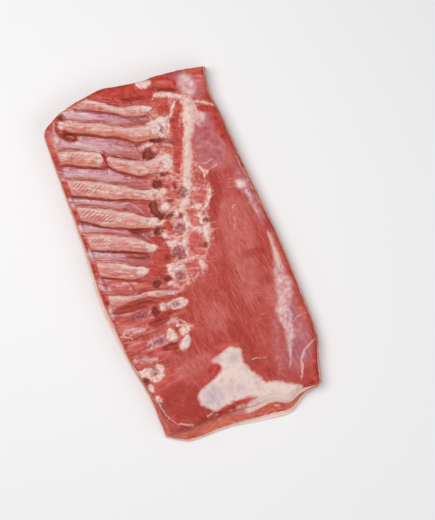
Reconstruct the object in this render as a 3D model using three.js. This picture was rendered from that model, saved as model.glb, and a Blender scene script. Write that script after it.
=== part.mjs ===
// A whole raw pork belly, rind on, ribs pulled one by one, lying rind down.
// Millimetres, +Z up, +Y towards the shoulder end, -X the loin edge where the ribs were, +X the belly edge.
// It is four layers that run right through the slab: rind and back fat, lower lean, seam fat and upper lean.
// The upper lean carries the strips of rib meat that are left standing between the pulled ribs' channels.
import * as THREE from "three";
import { mergeVertices } from "three/addons/utils/BufferGeometryUtils.js";

// ---- Driving dimensions ------------------------------------------------------------------------
const LOIN_EDGE_THICKNESS = 39;      // slab without its rib meat, at the loin edge
const BELLY_EDGE_THICKNESS = 33;     // and at the belly edge, where it thins out
const SHOULDER_GAIN = 3;             // the shoulder end is this much thicker than the middle
const FLANK_LOSS = 4;                // and the flank end this much thinner
const LENGTH = 546;
const WIDTH = 286;
const LAYER_GAP = 0.3;               // clearance between two layers
const RIND_ROUND = 3;                // radius of the rind's lower edge
const TOP_ROUND = 4;                 // radius of the upper lean's cut edge
const STRIP_RISE = 4.5;              // how far a strip of rib meat stands above the plain slab
const CHANNEL_DEPTH = 2.5;           // how far a channel lies below the slab's plain surface
const COSTAL_RIDGE_RISE = 2;         // the cartilage line where the ribs ended
const FAT_CAP_RISE = 1.5;            // the white fat on the inside of the flank

// Grid steps of the upper lean's top: close together across the rib meat, wide on the plain lean.
const ROW_STEP = { ribs: 5.2, lean: 16 };
const COLUMN_STEP = { ribs: 11.6, lean: 24 };
const RIB_ZONE = { startY: -165, endX: 50 };

// ---- Outline of the rind, by its four sides ------------------------------------------------------
const CORNER = {
  loinFlank: [-121, -240],
  loinShoulder: [-133, 239],
  bellyShoulder: [130, 253],
  bellyFlank: [123, -245],
};
const SIDES = {
  flank: [CORNER.loinFlank, [-102, -252], [-85, -258], [-30, -259], [22, -267], [63, -271], [91, -256],
    [114, -251], CORNER.bellyFlank],
  belly: [CORNER.bellyFlank, [132, -211], [143, -172], [143.5, -99], [141, -8], [133, 89], [128, 170],
    [123.5, 214], CORNER.bellyShoulder],
  shoulder: [CORNER.loinShoulder, [-127, 249], [-114, 256], [-95, 265], [-61, 272], [-25, 275], [20, 267],
    [81, 263], CORNER.bellyShoulder],
  loin: [CORNER.loinFlank, [-123, -191], [-126, -160], [-135, -109], [-142.5, -28], [-139, 33], [-136, 104],
    [-135, 165], CORNER.loinShoulder],
};

// The knife's cut at even steps along each side. inset is how far the top of the back fat, the lower lean,
// the seam fat and the upper lean lie in from the rind, and height is where the first three of them end.
const CUT = {
  flank: [
    { inset: [2, 9, 9.3, 12], height: [8, 17, 20] }, { inset: [3, 17, 17.4, 22], height: [8, 17, 20] },
    { inset: [3, 18, 18.8, 26], height: [8, 17, 21] }, { inset: [5, 15, 22, 27], height: [8, 18, 24] },
    { inset: [7, 23, 29, 34], height: [8, 19, 26] }, { inset: [4, 9, 12.5, 17], height: [9, 19, 24] },
    { inset: [2, 3, 4, 6], height: [9, 18, 22] },
  ],
  belly: [
    { inset: [2, 3, 4, 6], height: [9, 18, 22] }, { inset: [3, 4, 5, 7], height: [11, 19, 24] },
    { inset: [3, 4, 5, 7], height: [11, 20, 24] }, { inset: [2, 3, 4, 6], height: [12, 21, 25] },
  ],
  shoulder: [
    { inset: [3, 4, 5, 7], height: [12, 21, 25] }, { inset: [2, 3, 4, 6], height: [13, 23, 26] },
    { inset: [2, 3, 4, 5], height: [12, 22, 27] }, { inset: [2, 3, 4, 6], height: [12, 21, 25] },
  ],
  loin: [
    { inset: [2, 9, 10, 12], height: [8, 17, 20] }, { inset: [3, 4.5, 5, 7], height: [10, 18, 22] },
    { inset: [6, 6.6, 7.2, 9], height: [11, 20, 24] }, { inset: [4.5, 5, 5.5, 7.5], height: [11, 20, 23] },
    { inset: [3, 3.6, 4.2, 6], height: [12, 22, 26] }, { inset: [2.5, 3, 3.6, 5.5], height: [12, 21, 25] },
  ],
};

// ---- Rib meat: one strip between each two ribs, from the loin edge to the costal arch ------------
// loin and arch are the ends of a strip's middle line, bow its sideways bend, half its half width.
const RIB_STRIPS = [
  { loin: [-66, 261], arch: [33, 217], bow: -5, half: 7.5 },
  { loin: [-100, 238], arch: [34, 186], bow: -3, half: 10.5 },
  { loin: [-122, 196], arch: [-62, 171], bow: 1, half: 10 },
  { loin: [-56, 168], arch: [32, 132], bow: -7, half: 11 },
  { loin: [-123, 151], arch: [2, 99], bow: -2, half: 11 },
  { loin: [-124, 111], arch: [-17, 59], bow: -1, half: 11 },
  { loin: [-125, 66], arch: [-34, 22], bow: 3, half: 10.5 },
  { loin: [-125, 24], arch: [-55, -3], bow: -2, half: 9.5 },
  { loin: [-127, -27], arch: [-21, -49], bow: 4, half: 6 },
];
const COSTAL_ARCH = [[84, 206], [62, 150], [40, 96], [20, 45], [-6, 2], [-22, -30], [-36, -62], [-44, -104]];

// Where a raised or sunken shape is at its full height, and where it has faded out.
const STRIP_SHOULDER = 4;                          // the higher this power, the squarer a strip's shoulders
const CHANNEL = { full: 1.26, end: 2.66 };         // in half widths of the strip beside it
const COSTAL_RIDGE = { full: 6.5, end: 19.5 };     // in millimetres from its line
const FAT_CAP = { centre: [4, -192], along: 46, across: 34, full: 0.6, end: 1.6 };  // in shares of along and across

// ---- Small mathematics ---------------------------------------------------------------------------
const clamp01 = (t) => Math.min(1, Math.max(0, t));
const mix = (a, b, t) => a + (b - a) * t;
const smooth = (t) => clamp01(t) ** 2 * (3 - 2 * clamp01(t));
const fade = (value, { full, end }) => smooth((end - value) / (end - full));  // 1 up to full, 0 from end on

function curveThrough(points) {
  const along = new THREE.CatmullRomCurve3(points.map(([x, y]) => new THREE.Vector3(x, y, 0)), false, "centripetal");
  along.arcLengthDivisions = 400;
  return along;
}

// Rows of numbers that run smoothly through evenly spaced ones, for t from 0 to 1.
function runThrough(rows, t) {
  const at = clamp01(t) * (rows.length - 1);
  const i = Math.min(rows.length - 2, Math.floor(at));
  return rows[i].map((value, k) => mix(value, rows[i + 1][k], smooth(at - i)));
}

// Distance from (x, y) to a chain of points, and how far along it the nearest place is, from 0 to 1.
function nearestOnChain(x, y, chain) {
  let best = { distance: Infinity, along: 0 };
  for (let i = 0; i + 1 < chain.length; i += 1) {
    const [ax, ay] = chain[i];
    const [bx, by] = chain[i + 1];
    const dx = bx - ax;
    const dy = by - ay;
    const t = clamp01(((x - ax) * dx + (y - ay) * dy) / (dx * dx + dy * dy));
    const distance = Math.hypot(x - ax - t * dx, y - ay - t * dy);
    if (distance < best.distance) best = { distance, along: (i + t) / (chain.length - 1) };
  }
  return best;
}

// ---- Heights -------------------------------------------------------------------------------------
function slabTop(x, y) {
  const across = clamp01(x / WIDTH + 0.5);
  const along = clamp01(y / LENGTH + 0.5);
  return mix(LOIN_EDGE_THICKNESS, BELLY_EDGE_THICKNESS, across)
    + SHOULDER_GAIN * smooth(2 * along - 1) - FLANK_LOSS * smooth(1 - 2 * along);
}

function stripLine({ loin, arch, bow }) {
  const middle = [(loin[0] + arch[0]) / 2, (loin[1] + arch[1]) / 2 + bow];
  return [loin, middle, arch];
}
const STRIP_LINES = RIB_STRIPS.map(stripLine);

// The rib meat and the channels between it, above or below the plain slab.
function ribRelief(x, y) {
  let rise = 0;
  let zone = 0;
  RIB_STRIPS.forEach((strip, i) => {
    const { distance } = nearestOnChain(x, y, STRIP_LINES[i]);
    rise = Math.max(rise, clamp01(1 - (distance / strip.half) ** STRIP_SHOULDER));
    zone = Math.max(zone, fade(distance / strip.half, CHANNEL));
  });
  return STRIP_RISE * rise - CHANNEL_DEPTH * zone * (1 - rise);
}

function upperSurface(x, y) {
  const arch = nearestOnChain(x, y, COSTAL_ARCH);
  const cap = Math.hypot((x - FAT_CAP.centre[0]) / FAT_CAP.along, (y - FAT_CAP.centre[1]) / FAT_CAP.across);
  return slabTop(x, y) + ribRelief(x, y)
    + COSTAL_RIDGE_RISE * fade(arch.distance, COSTAL_RIDGE) + FAT_CAP_RISE * fade(cap, FAT_CAP);
}

// ---- The slab's rim ------------------------------------------------------------------------------
// Each place on the rim has its point on the rind's outline, the way in, and the knife's cut there.
function rimOf(rows, columns) {
  const side = Object.fromEntries(Object.entries(SIDES).map(([name, points]) => [name, curveThrough(points)]));
  const walk = [
    ...columns.map((t) => ["flank", t]),
    ...rows.slice(1).map((t) => ["belly", t]),
    ...[...columns].reverse().slice(1).map((t) => ["shoulder", t]),
    ...[...rows].reverse().slice(1, -1).map((t) => ["loin", t]),
  ];
  const points = walk.map(([name, t]) => side[name].getPointAt(t));
  return walk.map(([name, t], i) => {
    const before = points[(i + points.length - 1) % points.length];
    const after = points[(i + 1) % points.length];
    const inward = new THREE.Vector3(before.y - after.y, after.x - before.x, 0).normalize();
    const inset = runThrough(CUT[name].map((cut) => cut.inset), t);
    const height = runThrough(CUT[name].map((cut) => cut.height), t);
    return { x: points[i].x, y: points[i].y, inward, inset, height };
  });
}

// The point of the cut face at one place of the rim where layer k ends, or the top edge for the last one.
function cutPoint(place, k, raisedBy = 0) {
  const x = place.x + place.inward.x * place.inset[k];
  const y = place.y + place.inward.y * place.inset[k];
  const z = place.height[k] ?? slabTop(place.x, place.y) - TOP_ROUND;
  return new THREE.Vector3(x, y, z + raisedBy);
}

// ---- Building closed solids ----------------------------------------------------------------------
// The layers from the rind up, as numbered in inset and height.
const BACK_FAT = 0;
const LOWER_LEAN = 1;
const SEAM_FAT = 2;
const UPPER_LEAN = 3;

class SolidMaker {
  constructor() {
    this.positions = [];
    this.triangles = [];
  }

  add(point) {
    this.positions.push(point.x, point.y, point.z);
    return this.positions.length / 3 - 1;
  }

  ring(points) {
    return points.map((p) => this.add(p));
  }

  // A wall between two rings that run anticlockwise seen from above.
  wall(lower, upper) {
    lower.forEach((a, i) => {
      const next = (i + 1) % lower.length;
      this.triangles.push(a, lower[next], upper[next], a, upper[next], upper[i]);
    });
  }

  // A flat cap over a ring, as a fan from its middle, facing up or down.
  cap(ring, facesUp) {
    const middle = new THREE.Vector3();
    ring.forEach((i) => middle.add(new THREE.Vector3().fromArray(this.positions, 3 * i)));
    const hub = this.add(middle.divideScalar(ring.length));
    ring.forEach((a, i) => {
      const b = ring[(i + 1) % ring.length];
      this.triangles.push(...(facesUp ? [a, b, hub] : [b, a, hub]));
    });
  }

  geometry() {
    const made = new THREE.BufferGeometry();
    made.setAttribute("position", new THREE.Float32BufferAttribute(this.positions, 3));
    made.setIndex(this.triangles);
    const closed = mergeVertices(made);
    closed.computeVertexNormals();
    return closed;
  }
}

// The layer between the top of layer k - 1 and its own top.
function layerGeometry(rim, k) {
  const maker = new SolidMaker();
  const lower = maker.ring(rim.map((place) => cutPoint(place, k - 1, LAYER_GAP)));
  const upper = maker.ring(rim.map((place) => cutPoint(place, k)));
  maker.wall(lower, upper);
  maker.cap(lower, false);
  maker.cap(upper, true);
  return maker.geometry();
}

// The rind and back fat: as a layer, but its foot is rounded and stands flat on z = 0.
function rindGeometry(rim) {
  const maker = new SolidMaker();
  const rings = [0, 45, 90].map((degrees) => {
    const angle = THREE.MathUtils.degToRad(degrees);
    const drawnIn = RIND_ROUND * (1 - Math.sin(angle));
    return maker.ring(rim.map((p) => new THREE.Vector3(
      p.x + p.inward.x * drawnIn, p.y + p.inward.y * drawnIn, RIND_ROUND * (1 - Math.cos(angle)))));
  });
  const upper = maker.ring(rim.map((place) => cutPoint(place, BACK_FAT)));
  rings.forEach((ring, i) => maker.wall(ring, rings[i + 1] ?? upper));
  maker.cap(rings[0], false);
  maker.cap(upper, true);
  return maker.geometry();
}

// The upper lean: its top is a grid stretched between the four cut edges, raised to upperSurface.
function upperLeanGeometry(rim, rows, columns) {
  const maker = new SolidMaker();
  const columnCount = columns.length;
  const rowCount = rows.length;
  const edge = rim.map((place) => cutPoint(place, UPPER_LEAN));
  const flank = edge.slice(0, columnCount);
  const belly = edge.slice(columnCount - 1, columnCount + rowCount - 1);
  const shoulder = edge.slice(columnCount + rowCount - 2, 2 * columnCount + rowCount - 2).reverse();
  const loin = [edge[0], ...edge.slice(2 * columnCount + rowCount - 2).reverse(), shoulder[0]];

  const grid = rows.map((v, j) => columns.map((u, i) => {
    const between = (key) => (1 - v) * flank[i][key] + v * shoulder[i][key]
      + (1 - u) * loin[j][key] + u * belly[j][key]
      - (1 - u) * (1 - v) * flank[0][key] - u * (1 - v) * flank[columnCount - 1][key]
      - (1 - u) * v * shoulder[0][key] - u * v * shoulder[columnCount - 1][key];
    const x = between("x");
    const y = between("y");
    const onEdge = i === 0 || j === 0 || i === columnCount - 1 || j === rowCount - 1;
    return maker.add(new THREE.Vector3(x, y, upperSurface(x, y) - (onEdge ? TOP_ROUND : 0)));
  }));
  for (let j = 0; j + 1 < rowCount; j += 1) {
    for (let i = 0; i + 1 < columnCount; i += 1) {
      const [a, b, c, d] = [grid[j][i], grid[j][i + 1], grid[j + 1][i + 1], grid[j + 1][i]];
      maker.triangles.push(a, b, d, b, c, d);  // the diagonal b to d falls as the rib strips do
    }
  }
  const gridRim = [
    ...grid[0],
    ...grid.slice(1).map((row) => row[columnCount - 1]),
    ...grid[rowCount - 1].slice(0, -1).reverse(),
    ...grid.slice(1, -1).map((row) => row[0]).reverse(),
  ];
  const foot = maker.ring(rim.map((place) => cutPoint(place, SEAM_FAT, LAYER_GAP)));
  maker.wall(foot, gridRim);
  maker.cap(foot, false);
  return maker.geometry();
}

// ---- Grid lines ----------------------------------------------------------------------------------
// Steps from one end to the other as shares of the whole, with one line close to each end for the rounded edge.
function gridLines(half, stepAt) {
  const last = half - TOP_ROUND;
  const places = [-last];
  while (places.at(-1) < last - stepAt(places.at(-1)) / 2) {
    places.push(Math.min(last, places.at(-1) + stepAt(places.at(-1))));
  }
  places[places.length - 1] = last;
  return [0, ...places.map((place) => 0.5 + place / (2 * half)), 1];
}
const rows = gridLines(LENGTH / 2, (y) => (y > RIB_ZONE.startY ? ROW_STEP.ribs : ROW_STEP.lean));
const columns = gridLines(WIDTH / 2, (x) => (x < RIB_ZONE.endX ? COLUMN_STEP.ribs : COLUMN_STEP.lean));

// ---- The belly -----------------------------------------------------------------------------------
const finish = (color, roughness) => new THREE.MeshStandardMaterial({ color, roughness, metalness: 0 });
const FINISH = {
  backFat: finish(0xead2c4, 0.45),
  lean: finish(0xbe5048, 0.38),
  seamFat: finish(0xe6cfc6, 0.45),
};

function named(name, geometry, material) {
  const mesh = new THREE.Mesh(geometry, material);
  mesh.name = name;
  return mesh;
}

const rim = rimOf(rows, columns);
const porkBelly = new THREE.Group();
porkBelly.add(
  named("rind_and_back_fat", rindGeometry(rim), FINISH.backFat),
  named("lower_lean", layerGeometry(rim, LOWER_LEAN), FINISH.lean),
  named("seam_fat", layerGeometry(rim, SEAM_FAT), FINISH.seamFat),
  named("upper_lean", upperLeanGeometry(rim, rows, columns), FINISH.lean),
);

// The origin is under the middle of the slab's own box.
const box = new THREE.Box3().setFromObject(porkBelly);
const middle = box.getCenter(new THREE.Vector3());
porkBelly.children.forEach((layer) => layer.geometry.translate(-middle.x, -middle.y, -box.min.z));

export default porkBelly;
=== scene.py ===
import math

import bpy
import numpy as np
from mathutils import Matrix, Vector


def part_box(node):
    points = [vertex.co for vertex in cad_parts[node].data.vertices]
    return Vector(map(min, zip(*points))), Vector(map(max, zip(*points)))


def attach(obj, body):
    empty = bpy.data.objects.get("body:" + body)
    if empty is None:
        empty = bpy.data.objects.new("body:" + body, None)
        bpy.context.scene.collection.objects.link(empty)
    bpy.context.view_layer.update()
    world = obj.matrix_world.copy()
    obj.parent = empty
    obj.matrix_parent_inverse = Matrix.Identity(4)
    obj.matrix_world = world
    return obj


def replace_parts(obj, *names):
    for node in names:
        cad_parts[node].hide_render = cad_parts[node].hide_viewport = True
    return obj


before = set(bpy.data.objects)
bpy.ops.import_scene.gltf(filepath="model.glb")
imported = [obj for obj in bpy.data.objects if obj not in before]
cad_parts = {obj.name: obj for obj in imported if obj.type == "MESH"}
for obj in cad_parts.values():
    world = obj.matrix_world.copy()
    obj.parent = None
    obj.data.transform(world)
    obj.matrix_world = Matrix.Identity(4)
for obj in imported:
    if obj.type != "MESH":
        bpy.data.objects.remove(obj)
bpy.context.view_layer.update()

# A whole raw pork belly, rind down, its ribs pulled one by one. Places are in millimetres in the slab's own
# frame: +Y towards the shoulder, -X the loin edge where the ribs were, +X the belly edge, +Z up.
MM = 0.001
REACH = 12.0                # how far from its edge a tissue is measured
CHAIN = 7                   # how many straight lines stand for each point of a smooth outline
TINY = 1e-9                 # keeps a line of no length from being divided by


# ---- Small mathematics ---------------------------------------------------------------------------
def smooth(t):
    """0 up to 0, 1 from 1 on, and a smooth change between them."""
    t = np.clip(t, 0.0, 1.0)
    return t * t * (3.0 - 2.0 * t)


def even_steps(*stretches):
    """Shares from 0 to 1 in stretches, each given as (share where it ends, number of steps)."""
    made, start = [0.0], 0.0
    for end, steps in stretches:
        made += list(start + (end - start) * np.arange(1, steps + 1) / steps)
        start = end
    return np.array(made)


def curve(points, count, closed=False):
    """Evenly spaced points on a smooth line through the given ones."""
    p = np.asarray(points, float)
    ends = (p[-1:], p[:2]) if closed else (2 * p[:1] - p[1:2], 2 * p[-1:] - p[-2:-1])
    p = np.vstack([ends[0], p, ends[1]])
    t = np.linspace(0, 1, 16, endpoint=False)[:, None]
    fine = [0.5 * (2 * b + (c - a) * t + (2 * a - 5 * b + 4 * c - d) * t ** 2
                   + (3 * b - a - 3 * c + d) * t ** 3) for a, b, c, d in zip(p, p[1:], p[2:], p[3:])]
    fine = np.vstack(fine + [p[-2:-1]])
    run = run_along(fine)
    at = np.linspace(0, run[-1], count, endpoint=not closed)
    return np.column_stack([np.interp(at, run, fine[:, k]) for k in range(p.shape[1])])


def run_along(points):
    """How far along a line each of its points lies."""
    return np.concatenate([[0], np.cumsum(np.linalg.norm(np.diff(points, axis=0), axis=1))])


def lumps(x, y, size, seed):
    """Smooth unevenness between -1 and 1, about `size` mm from one lump to the next."""
    cells = 64
    table = np.random.default_rng(seed).uniform(-1, 1, (cells, cells))
    u, v = np.asarray(x) / size + 17.3, np.asarray(y) / size + 31.7     # off the frame's middle
    i, j = np.floor(u).astype(int), np.floor(v).astype(int)
    s, t = smooth(u - i), smooth(v - j)

    def at(a, b):
        return table[(i + a) % cells, (j + b) % cells]

    return (at(0, 0) * (1 - s) + at(1, 0) * s) * (1 - t) + (at(0, 1) * (1 - s) + at(1, 1) * s) * t


def uneven(x, y, *layers):
    """Layers of lumps added up, each given as (its height, the size of its lumps in mm, its seed)."""
    return sum(most * lumps(x, y, size, seed) for most, size, seed in layers)


def nearest_on(x, y, start, end):
    """For every place, how far along a straight line its nearest point lies, and how far away that is."""
    dx, dy = end[0] - start[0], end[1] - start[1]
    t = np.clip(((x - start[0]) * dx + (y - start[1]) * dy) / max(dx * dx + dy * dy, TINY), 0, 1)
    return t, np.sqrt((x - start[0] - t * dx) ** 2 + (y - start[1] - t * dy) ** 2)


def depth_in_area(x, y, outline):
    """How far each place lies inside a closed smooth outline, in mm: below 0 outside."""
    chain = curve(outline, CHAIN * len(outline), closed=True)
    best, inside = np.full(x.shape, REACH), np.zeros(x.shape, bool)
    for start, end in zip(chain, np.roll(chain, -1, axis=0)):
        best = np.minimum(best, nearest_on(x, y, start, end)[1])
        dx, dy = end - start
        crossed = x < dx * (y - start[1]) / (dy if dy else TINY) + start[0]
        inside ^= ((start[1] > y) != (end[1] > y)) & crossed
    return np.where(inside, best, -best)


def depth_in_oval(x, y, middle_x, middle_y, long, wide, turn):
    """Nearly the same for an oval turned by so many degrees."""
    least = 1e-4                # keeps the very middle from dividing by nothing
    c, s = math.cos(math.radians(turn)), math.sin(math.radians(turn))
    u = (c * (x - middle_x) + s * (y - middle_y)) / (long / 2)
    v = (c * (y - middle_y) - s * (x - middle_x)) / (wide / 2)
    away = np.hypot(u, v) + least
    return away * (1 - away) / (np.hypot(u / (long / 2), v / (wide / 2)) + least / (wide / 2))


def depth_in_line(x, y, points, widths):
    """The same for a line whose width runs evenly through the given ones."""
    chain = curve(points, CHAIN * len(points))
    half = np.interp(np.linspace(0, 1, len(chain)), np.linspace(0, 1, len(widths)), widths) / 2
    best = np.full(x.shape, -REACH)
    for start, end, half_start, half_end in zip(chain, chain[1:], half, half[1:]):
        t, away = nearest_on(x, y, start, end)
        best = np.maximum(best, half_start + (half_end - half_start) * t - away)
    return best


def deepest(x, y, areas=(), lines=(), ovals=()):
    """The greatest depth in any of the shapes, for every place."""
    best = np.full(x.shape, -REACH)
    shapes = [(points, 0, depth_in_area, (points,)) for points in areas]
    shapes += [(points, 0, depth_in_line, (points, widths)) for points, widths in lines]
    shapes += [([oval[:2]], oval[2] / 2, depth_in_oval, oval) for oval in ovals]
    for points, around, measure, given in shapes:
        low, high = np.min(points, axis=0) - REACH - around, np.max(points, axis=0) + REACH + around
        near = (x > low[0]) & (x < high[0]) & (y > low[1]) & (y < high[1])
        if near.any():
            best[near] = np.maximum(best[near], measure(x[near], y[near], *given))
    return best


def along_side(values, share):
    """A row of values that runs smoothly through evenly spaced ones."""
    rows = np.asarray(values, float)
    at = np.clip(share, 0, 1) * (len(rows) - 1)
    i = np.minimum(at.astype(int), len(rows) - 2)
    t = smooth(at - i)[:, None]
    return rows[i] * (1 - t) + rows[i + 1] * t


def rolling(values, window):
    """The mean over a window that runs round the closed rim."""
    kernel = np.hanning(window + 2)[1:-1]
    kernel = kernel / kernel.sum()
    padded = np.concatenate([values[-window:], values, values[:window]])
    evened = [np.convolve(column, kernel, "same")[window:-window] for column in padded.T]
    return np.column_stack(evened)


# ---- The slab ------------------------------------------------------------------------------------
COLUMN_AT = even_steps((0.64, 150), (1.0, 55))      # about 1.2 mm where the ribs were, and 1.8 elsewhere
ROW_AT = even_steps((0.37, 110), (1.0, 290))
COLUMNS, ROWS = len(COLUMN_AT), len(ROW_AT)
LENGTH, WIDTH = 546.0, 286.0    # over which the plain slab's height changes
LOIN_HEIGHT = 39.0          # the plain slab's height along its loin edge
BELLY_DROP = 6.0            # how much lower it lies along its belly edge
SHOULDER_RISE, FLANK_DROP = 3.0, 4.0    # how much higher and lower it lies at its two ends
TOP_ROUND = 3.0             # how far the rib side drops at its rim, and over what distance
ROUND_OVER = 12.0
WALL_TURN = math.radians(54)    # how far the upper lean's cut wall rolls over towards its top
WALL_LEVELS = 7
WALL_DENT = 0.35            # how deep the knife dented the wall
SEAM_HEIGHT = 31.0          # where a thin seam of fat runs in the wall
NO_SEAM = 9.0               # the distance that stands for no seam near
LID_HEIGHT = 22.0           # where the upper lean ends underneath, inside the slab
RIND_ROUND = 3.0            # the radius of the rind's foot
SIDES = {
    "flank": [
        (-121, -240), (-102, -252), (-85, -258), (-30, -259), (22, -267), (63, -271), (91, -256),
        (114, -251), (123, -245),
    ],
    "belly": [
        (123, -245), (132, -211), (143, -172), (143.5, -99), (141, -8), (133, 89), (128, 170), (123.5, 214),
        (130, 253),
    ],
    "shoulder": [
        (-133, 239), (-127, 249), (-114, 256), (-95, 265), (-61, 272), (-25, 275), (20, 267), (81, 263),
        (130, 253),
    ],
    "loin": [
        (-121, -240), (-123, -191), (-126, -160), (-135, -109), (-142.5, -28), (-139, 33), (-136, 104),
        (-135, 165), (-133, 239),
    ],
}
# The knife's cut at even steps along each side, in mm: how far the tops of the back fat, the lower lean, the
# seam fat and the upper lean lie in from the rind, then the heights where the first three of them end.
CUT = {
    "flank": [
        (2, 9, 9.3, 12, 8, 17, 20), (3, 17, 17.4, 22, 8, 17, 20), (3, 18, 18.8, 26, 8, 17, 21),
        (5, 15, 22, 27, 8, 18, 24), (7, 23, 29, 34, 8, 19, 26), (4, 9, 12.5, 17, 9, 19, 24),
        (2, 3, 4, 6, 9, 18, 22),
    ],
    "belly": [
        (2, 3, 4, 6, 9, 18, 22), (3, 4, 5, 7, 11, 19, 24), (3, 4, 5, 7, 11, 20, 24),
        (2, 3, 4, 6, 12, 21, 25),
    ],
    "shoulder": [
        (3, 4, 5, 7, 12, 21, 25), (2, 3, 4, 6, 13, 23, 26), (2, 3, 4, 5, 12, 22, 27),
        (2, 3, 4, 6, 12, 21, 25),
    ],
    "loin": [
        (2, 9, 10, 12, 8, 17, 20), (3, 4.5, 5, 7, 10, 18, 22), (6, 6.6, 7.2, 9, 11, 20, 24),
        (4.5, 5, 5.5, 7.5, 11, 20, 23), (3, 3.6, 4.2, 6, 12, 22, 26), (2.5, 3, 3.6, 5.5, 12, 21, 25),
    ],
}

# ---- Rib meat: strips left standing between the pulled ribs --------------------------------------
# Upper and lower edge from the loin inwards, then how peach its lower side is, how strongly its slanting
# fibre shows, how much bare flesh it has, how far it stands up in mm, and whether the knife cut it square at
# the loin.
STRIPS = {
    "rib_meat_1": (
        [(-56, 265), (-47, 261), (-38, 255), (-28, 248), (-20, 241), (-6, 234), (10, 231), (24, 225),
         (34, 220)],
        [(-76, 257), (-65, 252), (-56, 248), (-38, 239), (-20, 229), (-9, 220), (5, 215), (20, 212),
         (31, 214)],
        0.45, 0.3, 0.35, 2.6, False,
    ),
    "rib_meat_2": (
        [(-103, 246), (-90, 243), (-70, 234), (-50, 226), (-30, 214), (-10, 204), (10, 199), (25, 197),
         (38, 201)],
        [(-98, 229), (-85, 222), (-75, 218), (-59, 210), (-45, 202), (-34, 198), (-20, 189), (-9, 180),
         (3, 176), (14, 175), (30, 171)],
        0.8, 0.3, 0.45, 3.2, False,
    ),
    "rib_meat_3": (
        [(-122, 207), (-100, 201), (-80, 193), (-63, 184), (-58, 180)],
        [(-122, 186), (-110, 183), (-100, 177), (-84, 169), (-64, 161)],
        0.8, 0.5, 0.4, 3.2, True,
    ),
    "rib_meat_3_inner": (
        [(-56, 176), (-45, 169), (-31, 162), (-20, 156), (-10, 150), (8, 147), (28, 149), (36, 141)],
        [(-58, 162), (-50, 152), (-40, 144), (-20, 131), (0, 127), (20, 122), (30, 124)],
        0.1, 0.2, 0.35, 3.2, False,
    ),
    "rib_meat_4": (
        [(-123, 164), (-112, 159), (-91, 150), (-78, 143), (-65, 135), (-45, 124), (-31, 114), (-13, 106),
         (2, 107)],
        [(-123, 139), (-115, 135), (-100, 128), (-74, 115), (-60, 109), (-45, 104), (-20, 92), (-8, 89),
         (4, 91)],
        0.25, 1.0, 0.3, 3.4, True,
    ),
    "rib_meat_5": (
        [(-124, 122), (-112, 117), (-100, 112), (-74, 98), (-52, 87), (-38, 76), (-29, 69), (-15, 66)],
        [(-124, 100), (-116, 95), (-100, 83), (-77, 71), (-52, 60), (-29, 53), (-18, 52)],
        0.25, 0.9, 0.5, 3.4, True,
    ),
    "rib_meat_6": (
        [(-125, 77), (-109, 73), (-91, 66), (-74, 57), (-56, 48), (-43, 36), (-33, 27)],
        [(-125, 55), (-113, 49), (-91, 40), (-70, 31), (-50, 21), (-36, 16)],
        0.25, 0.6, 0.6, 3.2, True,
    ),
    "rib_meat_7": (
        [(-125, 35), (-106, 28), (-88, 19), (-74, 10), (-54, 3)],
        [(-126, 13), (-109, 5), (-91, -4), (-77, -9), (-56, -9)],
        0.35, 0.4, 0.85, 2.6, True,
    ),
    "rib_meat_8": (
        [(-127, -18), (-112, -21), (-100, -27), (-85, -31), (-74, -30), (-65, -32), (-56, -34), (-45, -40),
         (-31, -44), (-22, -45)],
        [(-127, -37), (-112, -38), (-95, -37), (-80, -38), (-70, -40), (-56, -46), (-45, -48), (-31, -52),
         (-20, -53)],
        0.25, 0.2, 0.45, 1.4, True,
    ),
}
# A bed is the smooth hollow a pulled rib leaves between two strips; stop is the X where it ends.
BEDS = [
    (("rib_meat_1",), ("rib_meat_2",), 26), (("rib_meat_2",), ("rib_meat_3", "rib_meat_3_inner"), -6),
    (("rib_meat_3", "rib_meat_3_inner"), ("rib_meat_4",), -8), (("rib_meat_4",), ("rib_meat_5",), -24),
    (("rib_meat_5",), ("rib_meat_6",), -30), (("rib_meat_6",), ("rib_meat_7",), -46),
    (("rib_meat_7",), ("rib_meat_8",), -78),
]
BED_START = -125.0          # the X where they all start
BED_END_START, BED_END_OVER = 58, 45    # how far before its stop a bed's inner end starts, and over how far

# ---- Tissues seen on the rib side ------------------------------------------------------------------
# "pale", "deep", "bright", "orange" and "flesh" are shades of lean, "fresh" is newly cut lean, and "pink" is
# the torn, fatty ground where the ribs met their gristle. "silver" is silverskin, and "tint", "cloud" and
# "lilac" are thinner films; the sheen is painted highlight on the wet silverskin. "fat", "cover" and "ridge"
# are lumps of fat, broad pads of it and the long ridge. "dark" pits are dark clotted blood, darkened further
# with painted shade, and "violet" hollows are mauve. The recesses and grooves are hollows, creases and slits,
# many under the strips' lower edges, whose dark red-brown is painted shade; the widest groove, near the
# shoulder's loin corner, is an orange-brown knot in its own colour instead. "thread" is thin pale tissue.
# Knots and cuts that the ribs left along the loin edge, each by the place of its middle.
LOIN_EDGE_KNOTS = [(-125, 171), (-126, 129), (-128, 88), (-130, 47), (-130, -1), (-131, -42)]
LOIN_EDGE_CUTS = [(-125, 190), (-127, 150), (-129, 108), (-130, 68), (-130, 24), (-132, -21), (-127, -104)]
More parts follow.
